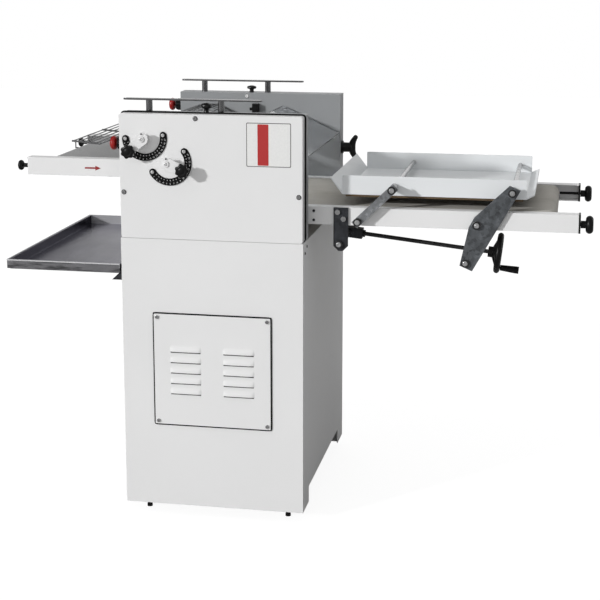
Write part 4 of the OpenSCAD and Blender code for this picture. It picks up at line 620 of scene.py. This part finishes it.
class MOULDER_OT_stage(bpy.types.Operator):
    """Set up the camera, the lamps, the world and the pale floor"""

    bl_idname = "moulder.stage"
    bl_label = "Stage"

    def execute(self, context):
        s = settings()[0]
        scene = context.scene
        scene.view_settings.view_transform = "Standard"
        self.camera(scene, s)
        self.world(scene, s)
        # Each lamp is far away: its name, strength, direction from the machine to it, and its width in degrees.
        for row in (("key", s.key, (-0.66, -0.70, 0.28), 3), ("fill", s.fill, (-0.1, -1.0, 0.15), 50),
                    ("top", s.top, (0.0, -0.05, 1.0), 90), ("back", s.back, (-0.35, 0.90, 0.25), 40)):
            self.lamp(scene, *row)
        self.floor(scene, s)
        return {"FINISHED"}

    def camera(self, scene, s):
        """The camera at the photograph's viewing angle."""
        lens = bpy.data.cameras.new("camera")
        lens.lens = s.lens
        lens.sensor_width = 36
        lens.sensor_fit = "HORIZONTAL"
        lens.shift_y = s.rise
        lens.clip_end = 100
        eye = bpy.data.objects.new("camera", lens)
        eye.location = s.eye
        eye.rotation_euler = (math.pi / 2 - s.tip, 0, s.turn)
        scene.collection.objects.link(eye)
        scene.camera = eye

    def lamp(self, scene, name, strength, toward, wide):
        """A far lamp in one direction; a wide one gives soft shadows."""
        light = bpy.data.lights.new(name, "SUN")
        light.energy = strength
        light.angle = math.radians(wide)
        lamp = bpy.data.objects.new(name, light)
        x, y, z = np.array(toward) / np.linalg.norm(toward)
        lamp.rotation_euler = (math.acos(z), 0, math.atan2(x, -y))
        lamp.location = np.array([x, y, z]) * 5
        lamp.visible_glossy = name == "key"
        scene.collection.objects.link(lamp)

    def world(self, scene, s):
        """White for the camera and through clear sheet; even light from all round; in mirrors a white backdrop
        behind, with a dark flag on its left and a dim room in front and overhead."""
        g = Graph("studio", "worlds")
        g.tree.nodes.remove(g.tree.nodes["Background"])
        toward = g.axes(g.coordinates["Generated"])
        flag = g.span(toward["X"], 0.04, 1.0, -0.40, -0.22)
        roof = g.span(toward["Z"], 1.0, 0.22, 0.35, 0.75)
        behind = g.span(toward["Y"], 0.0, 1.0, -0.05, 0.25)
        room = g.span(behind, 0.34, 0.0, 0.0, 1.0)
        backdrop = g.math("MULTIPLY", behind, g.math("MULTIPLY", flag, roof))
        strengths = s.ambient, g.math("ADD", room, backdrop), 1.0
        even, mirror, white = (g.add("ShaderNodeBackground", {"Color": (1, 1, 1, 1), "Strength": value}).outputs[0]
                               for value in strengths)
        path = g.add("ShaderNodeLightPath").outputs
        clear = g.math("MAXIMUM", path["Is Camera Ray"], path["Is Transmission Ray"])
        g.surface(g.either(clear, g.either(path["Is Glossy Ray"], even, mirror), white))
        scene.world = g.owner

    def floor(self, scene, s):
        """A wide pale floor: white to the camera by a share of glow, while the rest takes the shadow."""
        count, share, strength = 9, 0.66, 1.38
        grid = np.linspace(-s.floor_size, s.floor_size, count)
        x, y = np.meshgrid(grid, grid, indexing="ij")
        mesh = bpy.data.meshes.new("floor")
        points = np.stack([x, y, 0 * x], -1).reshape(-1, 3)
        mesh.from_pydata(points.tolist(), [], skin(count, count, False, False).tolist())
        g = Graph("pale floor")
        seen = g.math("MULTIPLY", g.add("ShaderNodeLightPath").outputs["Is Camera Ray"], share)
        glow = g.add("ShaderNodeEmission", {"Strength": strength}).outputs[0]
        g.surface(g.either(seen, g.shader.outputs[0], glow))
        mesh.materials.append(g.done(Base_Color=(0.5, 0.5, 0.5, 1), Roughness=0.9))
        floor = bpy.data.objects.new("floor", mesh)
        scene.collection.objects.link(floor)


class MOULDER_OT_finishes(bpy.types.Operator):
    """Give every solid its finish by its record slot, or its own where it has one"""

    bl_idname = "moulder.finishes"
    bl_label = "Finishes"

    def execute(self, context):
        f = settings()[1]
        by_slot = {
            "white_paint": powder_coat("white powder coat", f.paint),
            "grey_paint": powder_coat("grey paint", f.grey, 0.001),
            "seal_rubber": matt_rubber("seal rubber", (0.005, 0.005, 0.005)),
            "bright_steel": plated("bright steel", f.steel),
            "link_steel": galvanised("link zinc", f.link),
            "dark_zinc": galvanised("dark zinc", f.zinc),
            "black_steel": plated("black steel", (0.020, 0.020, 0.021), 0.30, (60, 500, 500), 0.35, 0.2),
            "motor_iron": cast_paint("motor paint", (0.10, 0.11, 0.13)),
            "roller_cover": moulded("roller cover", (0.72, 0.72, 0.70), 0.32, 0.001, mottle=0.03),
            "drum_alloy": turned_metal("drum alloy", (0.62, 0.62, 0.62)),
            "black_plastic": moulded("black plastic", f.black, 0.40, 0.001, 0.22),
            "dial_black": moulded("dial black", (0.003, 0.003, 0.0033), 0.42, 0.0004, 0.14),
            "red_plastic": moulded("red plastic", f.red, 0.30, 0.001),
            "clear_sheet": clear_plastic("clear sheet"),
            "infeed_belting": felted("infeed belting core", f.belt_in),
            "outfeed_belting": felted("outfeed belting core", f.belt_out),
            "brown_felt": felted("felt core", f.felt),
            "stainless": brushed_sheet("stainless sheet", f.stainless, tray_walls),
        }
        own = {
            "tray_bars": plated("bar steel", (0.21, 0.21, 0.214), 0.22),
            "wire_guard": plated("wire steel", (0.20, 0.20, 0.205), 0.30),
            "pressure_board": powder_coat("board white", np.multiply(f.paint, (0.960, 0.985, 1.0))),
        }
        bracket = galvanised("bracket zinc", f.bracket)
        own |= dict.fromkeys(("anchor_brackets", "anchor_block", "nut_bar", "tray_brackets"), bracket)
        for name, node in frame["nodes"].items():
            node.data.materials.clear()
            node.data.materials.append(own.get(name, by_slot[SLOT_OF[name]]))
            node.data.polygons.foreach_set("material_index", np.zeros(len(node.data.polygons), np.int32))
        return {"FINISHED"}


class MOULDER_OT_belts(bpy.types.Operator):
    """Make both conveyor belts as woven endless bands"""

    bl_idname = "moulder.belts"
    bl_label = "Belts"

    def execute(self, context):
        _, f, sizes = settings()
        # Node, piece, colour, stain, pitch of the weave, slot.
        rows = [("infeed_belt", "infeed_band", f.belt_in, (0.28, 0.28, 0.275), 0.0022, "infeed_belting"),
                ("outfeed_belt", "outfeed_band", f.belt_out, (0.38, 0.36, 0.315), 0.0026, "outfeed_belting")]
        for node, name, rgb, stain, pitch, slot in rows:
            low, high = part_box(node)
            shape, band, run = self.shape(low, high, sizes.belt_thick, sizes.belt_step)
            belt = piece(name, shape, woven(name + " weave", rgb, pitch, stain), "machine", uv=band)
            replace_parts(belt, node)
        return {"FINISHED"}

    def shape(self, low, high, thick, steps):
        """An endless belt: a thin section with round edges carried round two drums. The path is a half turn, a line,
        a half turn and a line; its outer face waves by a sine along the band times a cosine across it. Gives the
        shape, its map in metres along and across the band, and the length of the loop."""
        radius, half = (high.z - low.z) / 2, thick / 2
        right, left = (np.array([x, (low.z + high.z) / 2]) for x in (high.x - radius, low.x + radius))
        turn = np.linspace(-np.pi / 2, np.pi / 2, steps)
        bend = np.stack([np.cos(turn), np.sin(turn)], -1)
        share = np.linspace(0, 1, 4 * steps)[1:-1, None]
        up = (0, 1) + 0 * share
        outward = np.concatenate([bend, up, -bend, -up])
        middle = np.concatenate([right + 0 * bend, right + (left - right) * share,
                                 left + 0 * bend, left + (right - left) * share])
        path = middle + (radius - half) * outward
        edge = np.linspace(-np.pi / 2, np.pi / 2, 7)
        inner = np.linspace(low.y + half, high.y - half, 28)[1:-1]
        across, deep = np.concatenate([
            np.stack([low.y + half - half * np.cos(edge[::-1]), half * np.sin(edge[::-1])], -1),
            np.stack([inner, 0 * inner - half], -1),
            np.stack([high.y - half + half * np.cos(edge), half * np.sin(edge)], -1),
            np.stack([inner[::-1], 0 * inner + half], -1)]).T
        step = np.linalg.norm(np.diff(path, axis=0, append=path[:1]), axis=1)
        run = np.concatenate([[0], np.cumsum(step)[:-1]])[:, None]
        wave = 0.00025 * np.sin(run * 23.0) * np.cos((across - low.y) * 17.0)
        points, faces = carry(path, outward, deep + wave * (deep > 0), across, True)
        band = np.stack(np.broadcast_arrays(run, across), -1).reshape(-1, 2)
        return (points[:, [0, 2, 1]], faces), band, float(step.sum())


class MOULDER_OT_lining(bpy.types.Operator):
    """Make the felt lining under the pressure board, with the loose fibres along its edges"""

    bl_idname = "moulder.lining"
    bl_label = "Board lining"

    def execute(self, context):
        f = settings()[1]
        low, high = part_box("board_felt")
        lining = piece("board_lining", self.shape(np.array(low), np.array(high)), felted("brown felt", f.felt),
                       "board", 50)
        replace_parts(lining, "board_felt")
        strips = [self.fringe(low, high, y, out) for y, out in ((low.y, -1), (high.y, 1))]
        piece("lining_fringe", join(strips), felted("felt fringe", shade(f.felt, 1.25)), "board", 50)
        return {"FINISHED"}

    def shape(self, low, high):
        """A felt slab on a grid: the upper face lies 0.55 + 0.45 * roll of the half thickness above the middle, the
        lower one 0.45 + 0.45 * roll below it, with roll = root(1 - |u|^60) * root(1 - |v|^60), which falls off at
        the edge. A low ripple, a sine times a cosine, runs over the lower face."""
        middle, half = (high + low) / 2, (high - low) / 2
        line = np.linspace(-1, 1, 90)
        u, v = np.meshgrid(line, line, indexing="ij")
        roll = np.sqrt(1 - np.abs(u) ** 60) * np.sqrt(1 - np.abs(v) ** 60)
        ripple = 0.0006 * np.sin(u * 21 + 2 * np.sin(v * 5)) * np.cos(v * 17)
        upper = middle + half * np.stack([u, v, 0.55 + 0.45 * roll], -1)
        lower = middle + half * np.stack([u, v, -0.45 - 0.45 * roll], -1)
        lower[..., 2] += ripple
        count = u.size
        edge = rim(np.arange(count).reshape(u.shape))
        after = np.roll(edge, -1)
        faces = skin(*u.shape, False, False)
        sides = np.stack([edge, edge + count, after + count, after], -1)
        points = np.concatenate([upper.reshape(-1, 3), lower.reshape(-1, 3)])
        return points, np.concatenate([faces, faces[:, ::-1] + count, sides]).tolist()

    def fringe(self, low, high, y, out):
        """Loose fibres along one edge of the felt: a thin strip along X whose lower edge is ragged by a sum of three
        sines of x, and whose outer face stands out by one more sine."""
        x = np.linspace(low.x, high.x, 420)[::out, None]
        ragged = np.sin(x * 611) + 0.8 * np.sin(x * 1433 + 1.3) + 0.6 * np.sin(x * 2707 + 0.4)
        bottom = low.z + 0.0006 - 0.0005 * (1 + 0.7 * ragged)
        top = high.z - 0.0006 + 0 * x
        back, face = 0 * x - 0.0008, 0.0010 + 0.0004 * np.sin(x * 877)
        offset = np.hstack([back, back, back, face, face, face])
        level = np.hstack([bottom, (bottom + top) / 2, top, top, (bottom + top) / 2, bottom])
        return carry(np.hstack([x, y + 0 * x]), np.array([[0, out]]), offset, level, False)


class MOULDER_OT_tray_skirt(bpy.types.Operator):
    """Fold the rim of the catch tray down on its three free sides, with a rolled upper edge"""

    bl_idname = "moulder.tray_skirt"
    bl_label = "Tray skirt"

    def execute(self, context):
        _, f, sizes = settings()
        low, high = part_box("catch_tray")
        path = self.path(low, high)
        shape = carry(path, right_of(path, False), *self.section(low, high, sizes.hem_radius), False)
        piece("tray_skirt", shape, brushed_sheet("skirt steel", f.skirt, skirt_runs), "tray", 40)
        return {"FINISHED"}

    def path(self, low, high):
        """From the machine along the front, round the left end and back along the rear, with round corners."""
        corner, end = 0.005, high.x - 0.001
        left, front, back = low.x + corner, low.y + corner, high.y - corner
        turn = np.linspace(0, np.pi / 2, 9)
        sine, cosine = corner * np.sin(turn), corner * np.cos(turn)
        runs = [(np.linspace(end, left, 60), np.full(60, low.y)),
                (left - sine, front - cosine),
                (np.full(90, low.x), np.linspace(front, back, 90)),
                (left - cosine, back + sine),
                (np.linspace(left, end, 60), np.full(60, high.y))]
        # Each run but the first starts where the one before it ends.
        first, *others = (np.stack(run, -1) for run in runs)
        return np.concatenate([first, *(run[1:] for run in others)])

    def section(self, low, high, hem):
        """Distances in from the outer face and heights of the section: a rolled hem, a thin wall and a narrow foot."""
        wall, foot, neck = 0.0012, low.z + 0.003, high.z - 2 * hem
        roll = np.linspace(0, np.pi, 9)
        top = np.stack([hem - hem * np.cos(roll), high.z + 0.0004 - hem + hem * np.sin(roll)], -1)
        rest = [(2 * hem - 0.0008, neck), (wall, neck - 0.0012), (wall, foot + 0.0008),
                (wall + 0.0028, foot + 0.0006), (wall + 0.0028, foot), (0.0006, foot), (0, foot + 0.0006)]
        return np.concatenate([top, rest])[::-1].T


class MOULDER_OT_access_panel(bpy.types.Operator):
    """Make the access panel with its pressed louvres, and the black bead round it"""

    bl_idname = "moulder.access_panel"
    bl_label = "Access panel"

    def execute(self, context):
        _, f, sizes = settings()
        shape, opening = self.panel(sizes.louvre_out)
        # The openings under the louvre lips are painted near black: painted shade of the dark inside behind them.
        paint = powder_coat("panel powder coat", f.paint, 0.001, True)
        panel = piece("louvre_panel", shape, paint, "machine", 38)
        mark = panel.data.attributes.new("opening", "FLOAT", "POINT")
        mark.data.foreach_set("value", opening.astype(np.float32))
        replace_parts(panel, "access_panel")
        bead = stand(self.bead(0.0026), at(0, -407.2, PANEL_MIDDLE))
        rubber = matt_rubber("bead rubber", (0.004, 0.004, 0.0042))
        piece("panel_bead", bead, rubber, "machine", 50)
        return {"FINISHED"}

    def panel(self, out):
        """A sheet whose face stands out at each louvre by out * sin(v * 90 degrees)^1.5 * (1 - |u|^7)^0.8, with u along
        the louvre and v from its upper edge to its lip; below the lip lies a narrow opening, sunk a little and painted
        near black as painted shade of the inside behind it. Gives the shape, and 1 for each of its points in an
        opening."""
        half, tall, long, deep = 0.195, 0.1875, 0.052, 0.022
        columns = np.array([-0.089, 0.089])
        lips = (425 + 35.5 * np.arange(5) - PANEL_MIDDLE) * MM
        # Lines across the sheet crowd at the ends of the louvres, and lines along it from each hood to its opening.
        ends = np.concatenate([np.linspace(0.70, 1.04, 18), np.linspace(0, 0.70, 12)]) * long
        x = np.concatenate([[-half, half, 0]] + [c + sign * ends for c in columns for sign in (-1, 1)])
        x = np.unique(np.round(x, 6))
        hood = np.concatenate([deep * np.linspace(1, 0, 13), [-0.0002, -0.0042, -0.0044, -0.0050]])
        margins = [-tall, -0.1765, -0.13, 0.13, 0.1765, tall]
        z = np.sort(np.concatenate([margins, (lips[:, None] + hood).ravel()]))[:, None]
        u = np.abs(x[:, None] - columns) / long
        v = (lips + deep - z) / deep
        bulge = np.where((v >= 0) & (v <= 1 + 1e-6), np.sin(np.clip(v, 0, 1) * np.pi / 2) ** 1.5, 0).sum(1)
        slit = (np.abs(z - lips + 0.0022) < 0.0021).sum(1)
        opening = np.outer(slit, (u < 0.97).sum(1))
        height = out * np.outer(bulge, (np.clip(1 - u ** 7, 0, 1) ** 0.8).sum(1)) - 0.0012 * opening
        sheet = np.stack(np.broadcast_arrays(x, -height, z), -1).reshape(-1, 3)
        edge = rim(np.arange(height.size).reshape(height.shape).T)
        back = height.size + np.arange(len(edge))
        sides = np.stack([edge, back, np.roll(back, -1), np.roll(edge, -1)], -1)
        faces = np.concatenate([skin(*height.shape, False, False)[:, ::-1], sides]).tolist()
        points = np.concatenate([sheet, sheet[edge] * (1, 0, 1) + (0, 0.002, 0)]) + at(0, -409.5, PANEL_MIDDLE)
        return (points, [*faces, back[::-1].tolist()]), np.pad(opening.ravel(), (0, len(edge)))

    def bead(self, radius):
        """A round bead along the panel's outline: point = outline + radius * (cos a * outward + sin a * up)."""
        outline = rounded_box(0.3940, 0.3790, 0.007, 7)
        a = np.linspace(0, 2 * np.pi, 12, endpoint=False)
        return carry(outline, right_of(outline, True), radius * np.cos(a), radius * np.sin(a), True)


class MOULDER_OT_star_knobs(bpy.types.Operator):
    """Make the two lobed knobs that hold the gap levers"""

    bl_idname = "moulder.star_knobs"
    bl_label = "Star knobs"

    def execute(self, context):
        _, f, sizes = settings()
        finish = moulded("star knob plastic", f.black, 0.36, 0.0006, 0.2)
        # Node, body, and the angle on its dial where the knob rests.
        rows = [("star_knob_1", "star_knob_one", 223), ("star_knob_2", "star_knob_two", 341)]
        for dial, (node, body, turn) in zip(DIALS, rows):
            low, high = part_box(node)
            shape = self.shape(high.y - low.y, sizes.star_radius, sizes.star_lobes)
            shape = stand(shape, on_face(*on_circle(dial, PIN_RADIUS, turn), high.y))
            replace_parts(piece(node + "_grip", shape, finish, body, 50), node)
        return {"FINISHED"}

    def shape(self, tall, radius, lobes):
        """Pin, neck, lobed rim and dished face turned about Z. In the rim the radius is multiplied by
        1 + depth * (wave - 1), with wave = cos(lobes * a), flattened above zero so that the lobes are wide and the
        hollows between them narrow."""
        base = tall - 0.0205
        # Height above the base, radius, and share of the lobes.
        pin = [(-base, 0, 0), (-base, 0.0017, 0), (0.0004 - base, 0.0020, 0), (-0.0002, 0.0020, 0), (0, 0.0075, 0),
               (0.0032, 0.0075, 0), (0.0042, 0.0100, 0.1)]
        t = np.linspace(-np.pi / 2, np.pi / 2, 15)
        edge = np.stack([0.0042 + 0.0070 * (1 + np.sin(t)), radius * (0.78 + 0.22 * np.cos(t) ** 0.6),
                         0.6 + 0.4 * np.cos(t)], -1)
        face = np.array([(0.0187, 0.70, 0.5), (0.0192, 0.60, 0.25), (0.0186, 0.52, 0), (0.0184, 0.44, 0),
                         (0.0197, 0.38, 0), (0.0203, 0.28, 0), (0.0205, 0.14, 0), (0.0205, 0, 0)]) * (1, radius, 1)
        table = np.concatenate([pin, edge, face]) + (base, 0, 0)

        def swell(angle, row):
            wave = np.cos(lobes * angle)
            wave = np.where(wave > 0, np.abs(wave) ** 0.7, wave)
            return 1 + 0.085 * table[1:-1, 2][row] * (wave - 1)

        return lathe(table[:, :2], 140, swell)


class MOULDER_OT_bolt_caps(bpy.types.Operator):
    """Finish the linkage's bolts with socket heads and dark washers, and the gap levers' and dials' with pale heads"""

    bl_idname = "moulder.bolt_caps"
    bl_label = "Bolt caps"

    def execute(self, context):
        steel = plated("bolt steel", (0.44, 0.44, 0.445), 0.26, (700, 700, 700), 0.55)
        pale = plated("pale screw", (0.62, 0.62, 0.62), 0.30, (700, 700, 700), 0.6)
        black = plated("washer black", (0.016, 0.016, 0.017), 0.42, (300, 300, 300), 0.2, 0.2)
        radius = 0.0082
        kinds = [("cap", socket_cap(radius), steel), ("washer", washer(radius, settings()[2].washer_wide), black)]
        # Piece, node that ends there, body, and its axis in X and Z.
        bolts = [("lever_pivot", "pivot_bolts", "machine", 844, 1006.5),
                 ("link_pivot", "pivot_bolts", "machine", 466, 1006.5),
                 ("lever_top", "board_rods", "board", 953, 1112.5),
                 ("link_top", "board_rods", "board", 575, 1112.5),
                 ("nut_end", "nut_bar", "nut", 810, 882.5),
                 ("anchor_end", "anchor_block", "anchor", 402, 927)]
        for name, node, body, x, z in bolts:
            for side, mark in ((-1, "front"), (1, "rear")):
                place = reach(node, x, z, 0, BOLT_REACH, side)
                for kind, shape, finish in kinds:
                    shape = stand(shape, place, (0, side, 0))
                    piece(f"{name}_{kind}_{mark}", shape, finish, body, 30)
        dials = list(enumerate(zip(DIALS, DIAL_STARTS, GAP_BODIES), 1))
        screws = [(f"gap_pivot_{i}", f"gap_lever_{i}", body, dial, 0.0052) for i, (dial, _, body) in dials]
        screws += [(f"dial_{i}_{mark}", "panel_screws", "machine", on_circle(dial, SCALE_RADIUS, start + turn), 0.0056)
                   for i, (dial, start, _) in dials for mark, turn in (("start", 0), ("stop", DIAL_SWEEP))]
        for name, node, body, spot, size in screws:
            shape = stand(socket_cap(size), reach(node, *spot, 0, BOLT_REACH))
            piece(name + "_cap_front", shape, pale, body, 30)
        return {"FINISHED"}


class MOULDER_OT_wing_knob(bpy.types.Operator):
    """Make the winged knob on the outfeed side of the rear housing"""

    bl_idname = "moulder.wing_knob"
    bl_label = "Wing knob"

    def execute(self, context):
        low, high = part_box("wing_knob")
        wall = at(300, 371, 1151)
        # Distance from the wall and radius of the shaft, the flange and the hub.
        hub = lathe([(-0.0295, 0), (-0.0295, 0.0055), (-0.0290, 0.0060), (0.0004, 0.0060), (0.0004, 0.0230),
                     (0.0012, 0.0240), (0.0052, 0.0240), (0.0062, 0.0228), (0.0070, 0.0188), (0.0085, 0.0178),
                     (0.0300, 0.0172), (0.0370, 0.0160), (0.0395, 0.0120), (0.0400, 0)], 64)
        wing, faces = self.wing(0.038, high.x - wall[0] - 0.0005, (high.z - low.z) / 2 + 0.006)
        shape = join([stand(hub, wall, (1, 0, 0), (0, 1, 0)), (wing + wall, faces)])
        finish = moulded("wing knob plastic", settings()[1].black, 0.42, 0.0008, 0.3)
        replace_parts(piece("wing_knob_grip", shape, finish, "wing", 40), "wing_knob")
        return {"FINISHED"}

    def wing(self, start, tips, span):
        """A bar of oval section along a bow: middle = (start + bow * s^2, 0, tall * s) for s from -1 to 1, with tall a
        little less than the span. The section leans with the bow, thins toward the tips and closes there by the root
        of 1 - |s|^34."""
        s = np.sin(np.linspace(-np.pi / 2, np.pi / 2, 49))[1:-1, None]
        turn = np.linspace(0, 2 * np.pi, 28, endpoint=False)
        close = np.sqrt(1 - np.abs(s) ** 34)
        thick = (0.0135 - 0.0062 * np.abs(s) ** 1.4) * close * np.cos(turn)
        wide = (0.0120 - 0.0030 * s ** 2) * close * np.sin(turn)
        bow, tall = tips - start, span - 0.0015
        lean = np.arctan2(2 * bow * s, span)
        rings = np.stack([start + bow * s ** 2 + thick * np.cos(lean), wide, tall * s - thick * np.sin(lean)], -1)
        return close_rings(rings, (tips, 0, -tall), (tips, 0, tall))


class MOULDER_OT_lock_knobs(bpy.types.Operator):
    """Make the two low mushroom knobs on top of the housings"""

    bl_idname = "moulder.lock_knobs"
    bl_label = "Lock knobs"

    def execute(self, context):
        _, f, sizes = settings()
        finish = moulded("lock knob plastic", f.black, 0.34, 0.0006, 0.4)
        for node, body, tall in (("lock_knob_front", "lock_front", sizes.lock_front_tall),
                                 ("lock_knob_rear", "lock_rear", sizes.lock_rear_tall)):
            low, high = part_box(node)
            middle = ((low.x + high.x) / 2, (low.y + high.y) / 2, HOUSING_TOP * MM)
            shape = stand(self.shape(tall, (high.x - low.x) / 2), middle, (0, 0, 1))
            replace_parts(piece(node + "_grip", shape, finish, body, 40), node)
        return {"FINISHED"}

    def shape(self, tall, radius):
        """Pin, flared neck and flat mushroom head turned about Z; the neck's radius is 0.42 + 0.14 * (1 - 2t)^2 of the
        head's, the head's edge a half ellipse, and twelve shallow hollows run round the edge."""
        pin = [(-0.024, 0), (-0.024, 0.0044), (-0.0234, 0.0050), (0.0004, 0.0050)]
        t = np.linspace(0, 1, 9)
        neck = np.stack([0.0004 + t * tall * 0.50, radius * (0.42 + 0.14 * (1 - 2 * t) ** 2)], -1)
        edge = np.linspace(-np.pi / 2, np.pi / 2, 13)
        head = np.stack([tall * (0.70 + 0.20 * np.sin(edge)), radius * (0.72 + 0.28 * np.cos(edge))], -1)
        face = np.array([(0.93, 0.60), (0.985, 0.35), (1, 0)]) * (tall, radius)
        grip = np.concatenate([np.zeros(len(pin) + len(neck)), np.cos(edge), np.zeros(len(face))])[1:-1]

        def swell(angle, row):
            return 1 - 0.035 * grip[row] * (1 - np.cos(12 * angle)) / 2

        return lathe(np.concatenate([pin, neck, head, face]), 96, swell)


class MOULDER_OT_small_screws(bpy.types.Operator):
    """Set the small screws and washers that the solids leave out, and the index dots of the gap levers"""

    bl_idname = "moulder.small_screws"
    bl_label = "Small screws and dots"

    def execute(self, context):
        dark = plated("dark screw", (0.035, 0.035, 0.037), 0.36, (400, 400, 400), 0.6, 0.2)
        # Near white and hardly metal: a painted glint of the chrome screw head on the rear housing's inner face.
        bright = plated("painted glint screw", (0.93, 0.93, 0.93), 0.22, (400, 400, 400), 0.1, 0.05)
        front, rear = (corner.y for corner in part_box("outfeed_rails"))
        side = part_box("base_cabinet")[1].x
        wall, cover = (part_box(node)[0].y for node in ("rear_housing", "front_cover"))
        rows = [
            ("rail_screws", dark, [stand(socket_cap(0.0045), on_face(318, z, y), (0, out, 0), stretch=1.4)
                                   for z in (1033, 1003) for out, y in ((-1, front), (1, rear))]),
            ("side_screws", dark, [stand(socket_cap(0.0050), (side, *at(0, y, z)[1:]), (1, 0, 0), (0, 1, 0))
                                   for y, z in ((-372, 905), (-340, 922))]),
            ("inner_screw", bright, [stand(socket_cap(0.0062), on_face(*COVER_SCREWS[0], wall), stretch=1.6)]),
            ("screw_washers", dark, [stand(washer(0.0061, 0.0020), on_face(x, z, cover), stretch=0.7)
                                     for x, z in COVER_SCREWS])]
        for name, finish, parts in rows:
            piece(name, join(parts), finish, "machine", 30)
        ink = printed("index dot black", (0.015, 0.015, 0.016))
        dot = lathe([(0, 0), (0, 0.0026), (0.0004, 0.0026), (0.0006, 0.0022), (0.0006, 0)], 32)
        spots = ((-214, 1286.5), (-134.5, 1208.5))
        for i, (body, spot) in enumerate(zip(GAP_BODIES, spots), 1):
            # The lever's own face lies beyond the head of its bolt.
            shape = stand(dot, reach(f"gap_lever_{i}", *spot, 0.008, 0.05))
            piece(f"index_dot_{i}", shape, ink, body, 30)
        return {"FINISHED"}


class MOULDER_OT_dial_numbers(bpy.types.Operator):
    """Set plain numbers along both dial scales"""

    bl_idname = "moulder.dial_numbers"
    bl_label = "Dial numbers"

    def execute(self, context):
        sizes = settings()[2]
        ink = printed("dial number white", (0.78, 0.78, 0.78))
        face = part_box("dial_scales")[0].y + 0.0001
        glyphs = [self.glyph(str(i), sizes.number_height) for i in range(1, 18)]
        # The first and the last number stand in from the ends of the scale by these degrees.
        margin = 13
        turns = np.radians(np.linspace(margin, DIAL_SWEEP - margin, len(glyphs)))
        for i, (dial, start) in enumerate(zip(DIALS, DIAL_STARTS), 1):
            parts = []
            for glyph, turn in zip(glyphs, turns + math.radians(start)):
                cosine, sine = math.cos(turn), math.sin(turn)
                place = on_face(*dial, face) + np.array([cosine, 0, sine]) * sizes.number_radius
                parts.append(stand(glyph, place, across=(-sine, 0, cosine)))
            piece(f"dial_numbers_{i}", join(parts), ink, "machine", 20)
        return {"FINISHED"}

    def glyph(self, text, tall):
        """One number as a thin closed mesh about its own middle, in X and Y."""
        curve = bpy.data.curves.new("glyph", "FONT")
        curve.body = text
        curve.size = tall
        curve.extrude = 0.00025
        curve.resolution_u = 3
        curve.align_x = "CENTER"
        curve.align_y = "CENTER"
        holder = bpy.data.objects.new("glyph", curve)
        bpy.context.scene.collection.objects.link(holder)
        bpy.context.view_layer.update()
        mesh = bpy.data.meshes.new_from_object(holder.evaluated_get(bpy.context.evaluated_depsgraph_get()))
        shape = points_of(mesh), [list(p.vertices) for p in mesh.polygons]
        bpy.data.objects.remove(holder)
        bpy.data.curves.remove(curve)
        bpy.data.meshes.remove(mesh)
        return shape


class MOULDER_OT_signs(bpy.types.Operator):
    """Set the blank plate on the cover and the plain arrow on the infeed rail"""

    bl_idname = "moulder.signs"
    bl_label = "Blank plate and arrow"

    def execute(self, context):
        edge = settings()[2].plate_edge
        cover, rail = (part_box(node)[0].y for node in ("front_cover", "infeed_rails"))
        middle = on_face(191, 1256, cover)
        wide, tall = 0.144, 0.140
        # Piece, distance to the left of the middle, width, height, thickness, corner radius and ink.
        rows = [("plate_rim", 0, wide, tall, 0.0003, 0.004, printed("plate edge", (0.06, 0.05, 0.05))),
                ("plate_face", 0, wide - 2 * edge, tall - 2 * edge, 0.0005, 0.003,
                 printed("plate white", (0.80, 0.80, 0.79))),
                ("plate_band", 0.018, 0.0355, tall - 4 * edge, 0.0007, 0.002,
                 printed("plate band", (0.45, 0.02, 0.02)))]
        for name, left, width, height, thick, corner, ink in rows:
            shape = stand(slab(rounded_box(width, height, corner), thick), middle - (left, 0, 0))
            piece(name, shape, ink, "machine", 30)
        shaft, head, start, neck, tip = 0.0028, 0.0080, -0.0275, 0.0085, 0.0275
        outline = [(start, -shaft), (neck, -shaft), (neck, -head), (tip, 0), (neck, head), (neck, shaft),
                   (start, shaft)]
        arrow = stand(slab(outline, 0.0004), on_face(-425.5, 1151.5, rail))
        piece("rail_arrow", arrow, printed("arrow red", (0.30, 0.012, 0.014)), "machine", 30)
        return {"FINISHED"}


OPERATORS = (
    MOULDER_OT_stage, MOULDER_OT_finishes, MOULDER_OT_belts, MOULDER_OT_lining, MOULDER_OT_tray_skirt,
    MOULDER_OT_access_panel, MOULDER_OT_star_knobs, MOULDER_OT_bolt_caps, MOULDER_OT_wing_knob, MOULDER_OT_lock_knobs,
    MOULDER_OT_small_screws, MOULDER_OT_dial_numbers, MOULDER_OT_signs)
GROUPS = {"moulder_stage": StageSettings, "moulder_finish": FinishSettings, "moulder_fitting": FittingSettings}


class MOULDER_PT_looks(bpy.types.Panel):
    """Lists the steps that dress the moulder."""

    bl_idname = "MOULDER_PT_looks"
    bl_label = "Baguette moulder"
    bl_space_type = "VIEW_3D"
    bl_region_type = "UI"
    bl_category = "Moulder"

    def draw(self, context):
        for operator in OPERATORS:
            self.layout.operator(operator.bl_idname)


def register():
    """Registers the settings, the steps and the panel."""
    for name, group in GROUPS.items():
        bpy.utils.register_class(group)
        setattr(bpy.types.Scene, name, PointerProperty(type=group))
    for item in (*OPERATORS, MOULDER_PT_looks):
        bpy.utils.register_class(item)


def unregister():
    """Takes the panel, the steps and the settings away again."""
    for item in (MOULDER_PT_looks, *reversed(OPERATORS)):
        bpy.utils.unregister_class(item)
    for name, group in reversed(GROUPS.items()):
        delattr(bpy.types.Scene, name)
        bpy.utils.unregister_class(group)


def main():
    """Dresses the moulder step by step."""
    register()
    for operator in OPERATORS:
        group, step = operator.bl_idname.split(".")
        getattr(getattr(bpy.ops, group), step)()


if __name__ == "__main__":
    main()
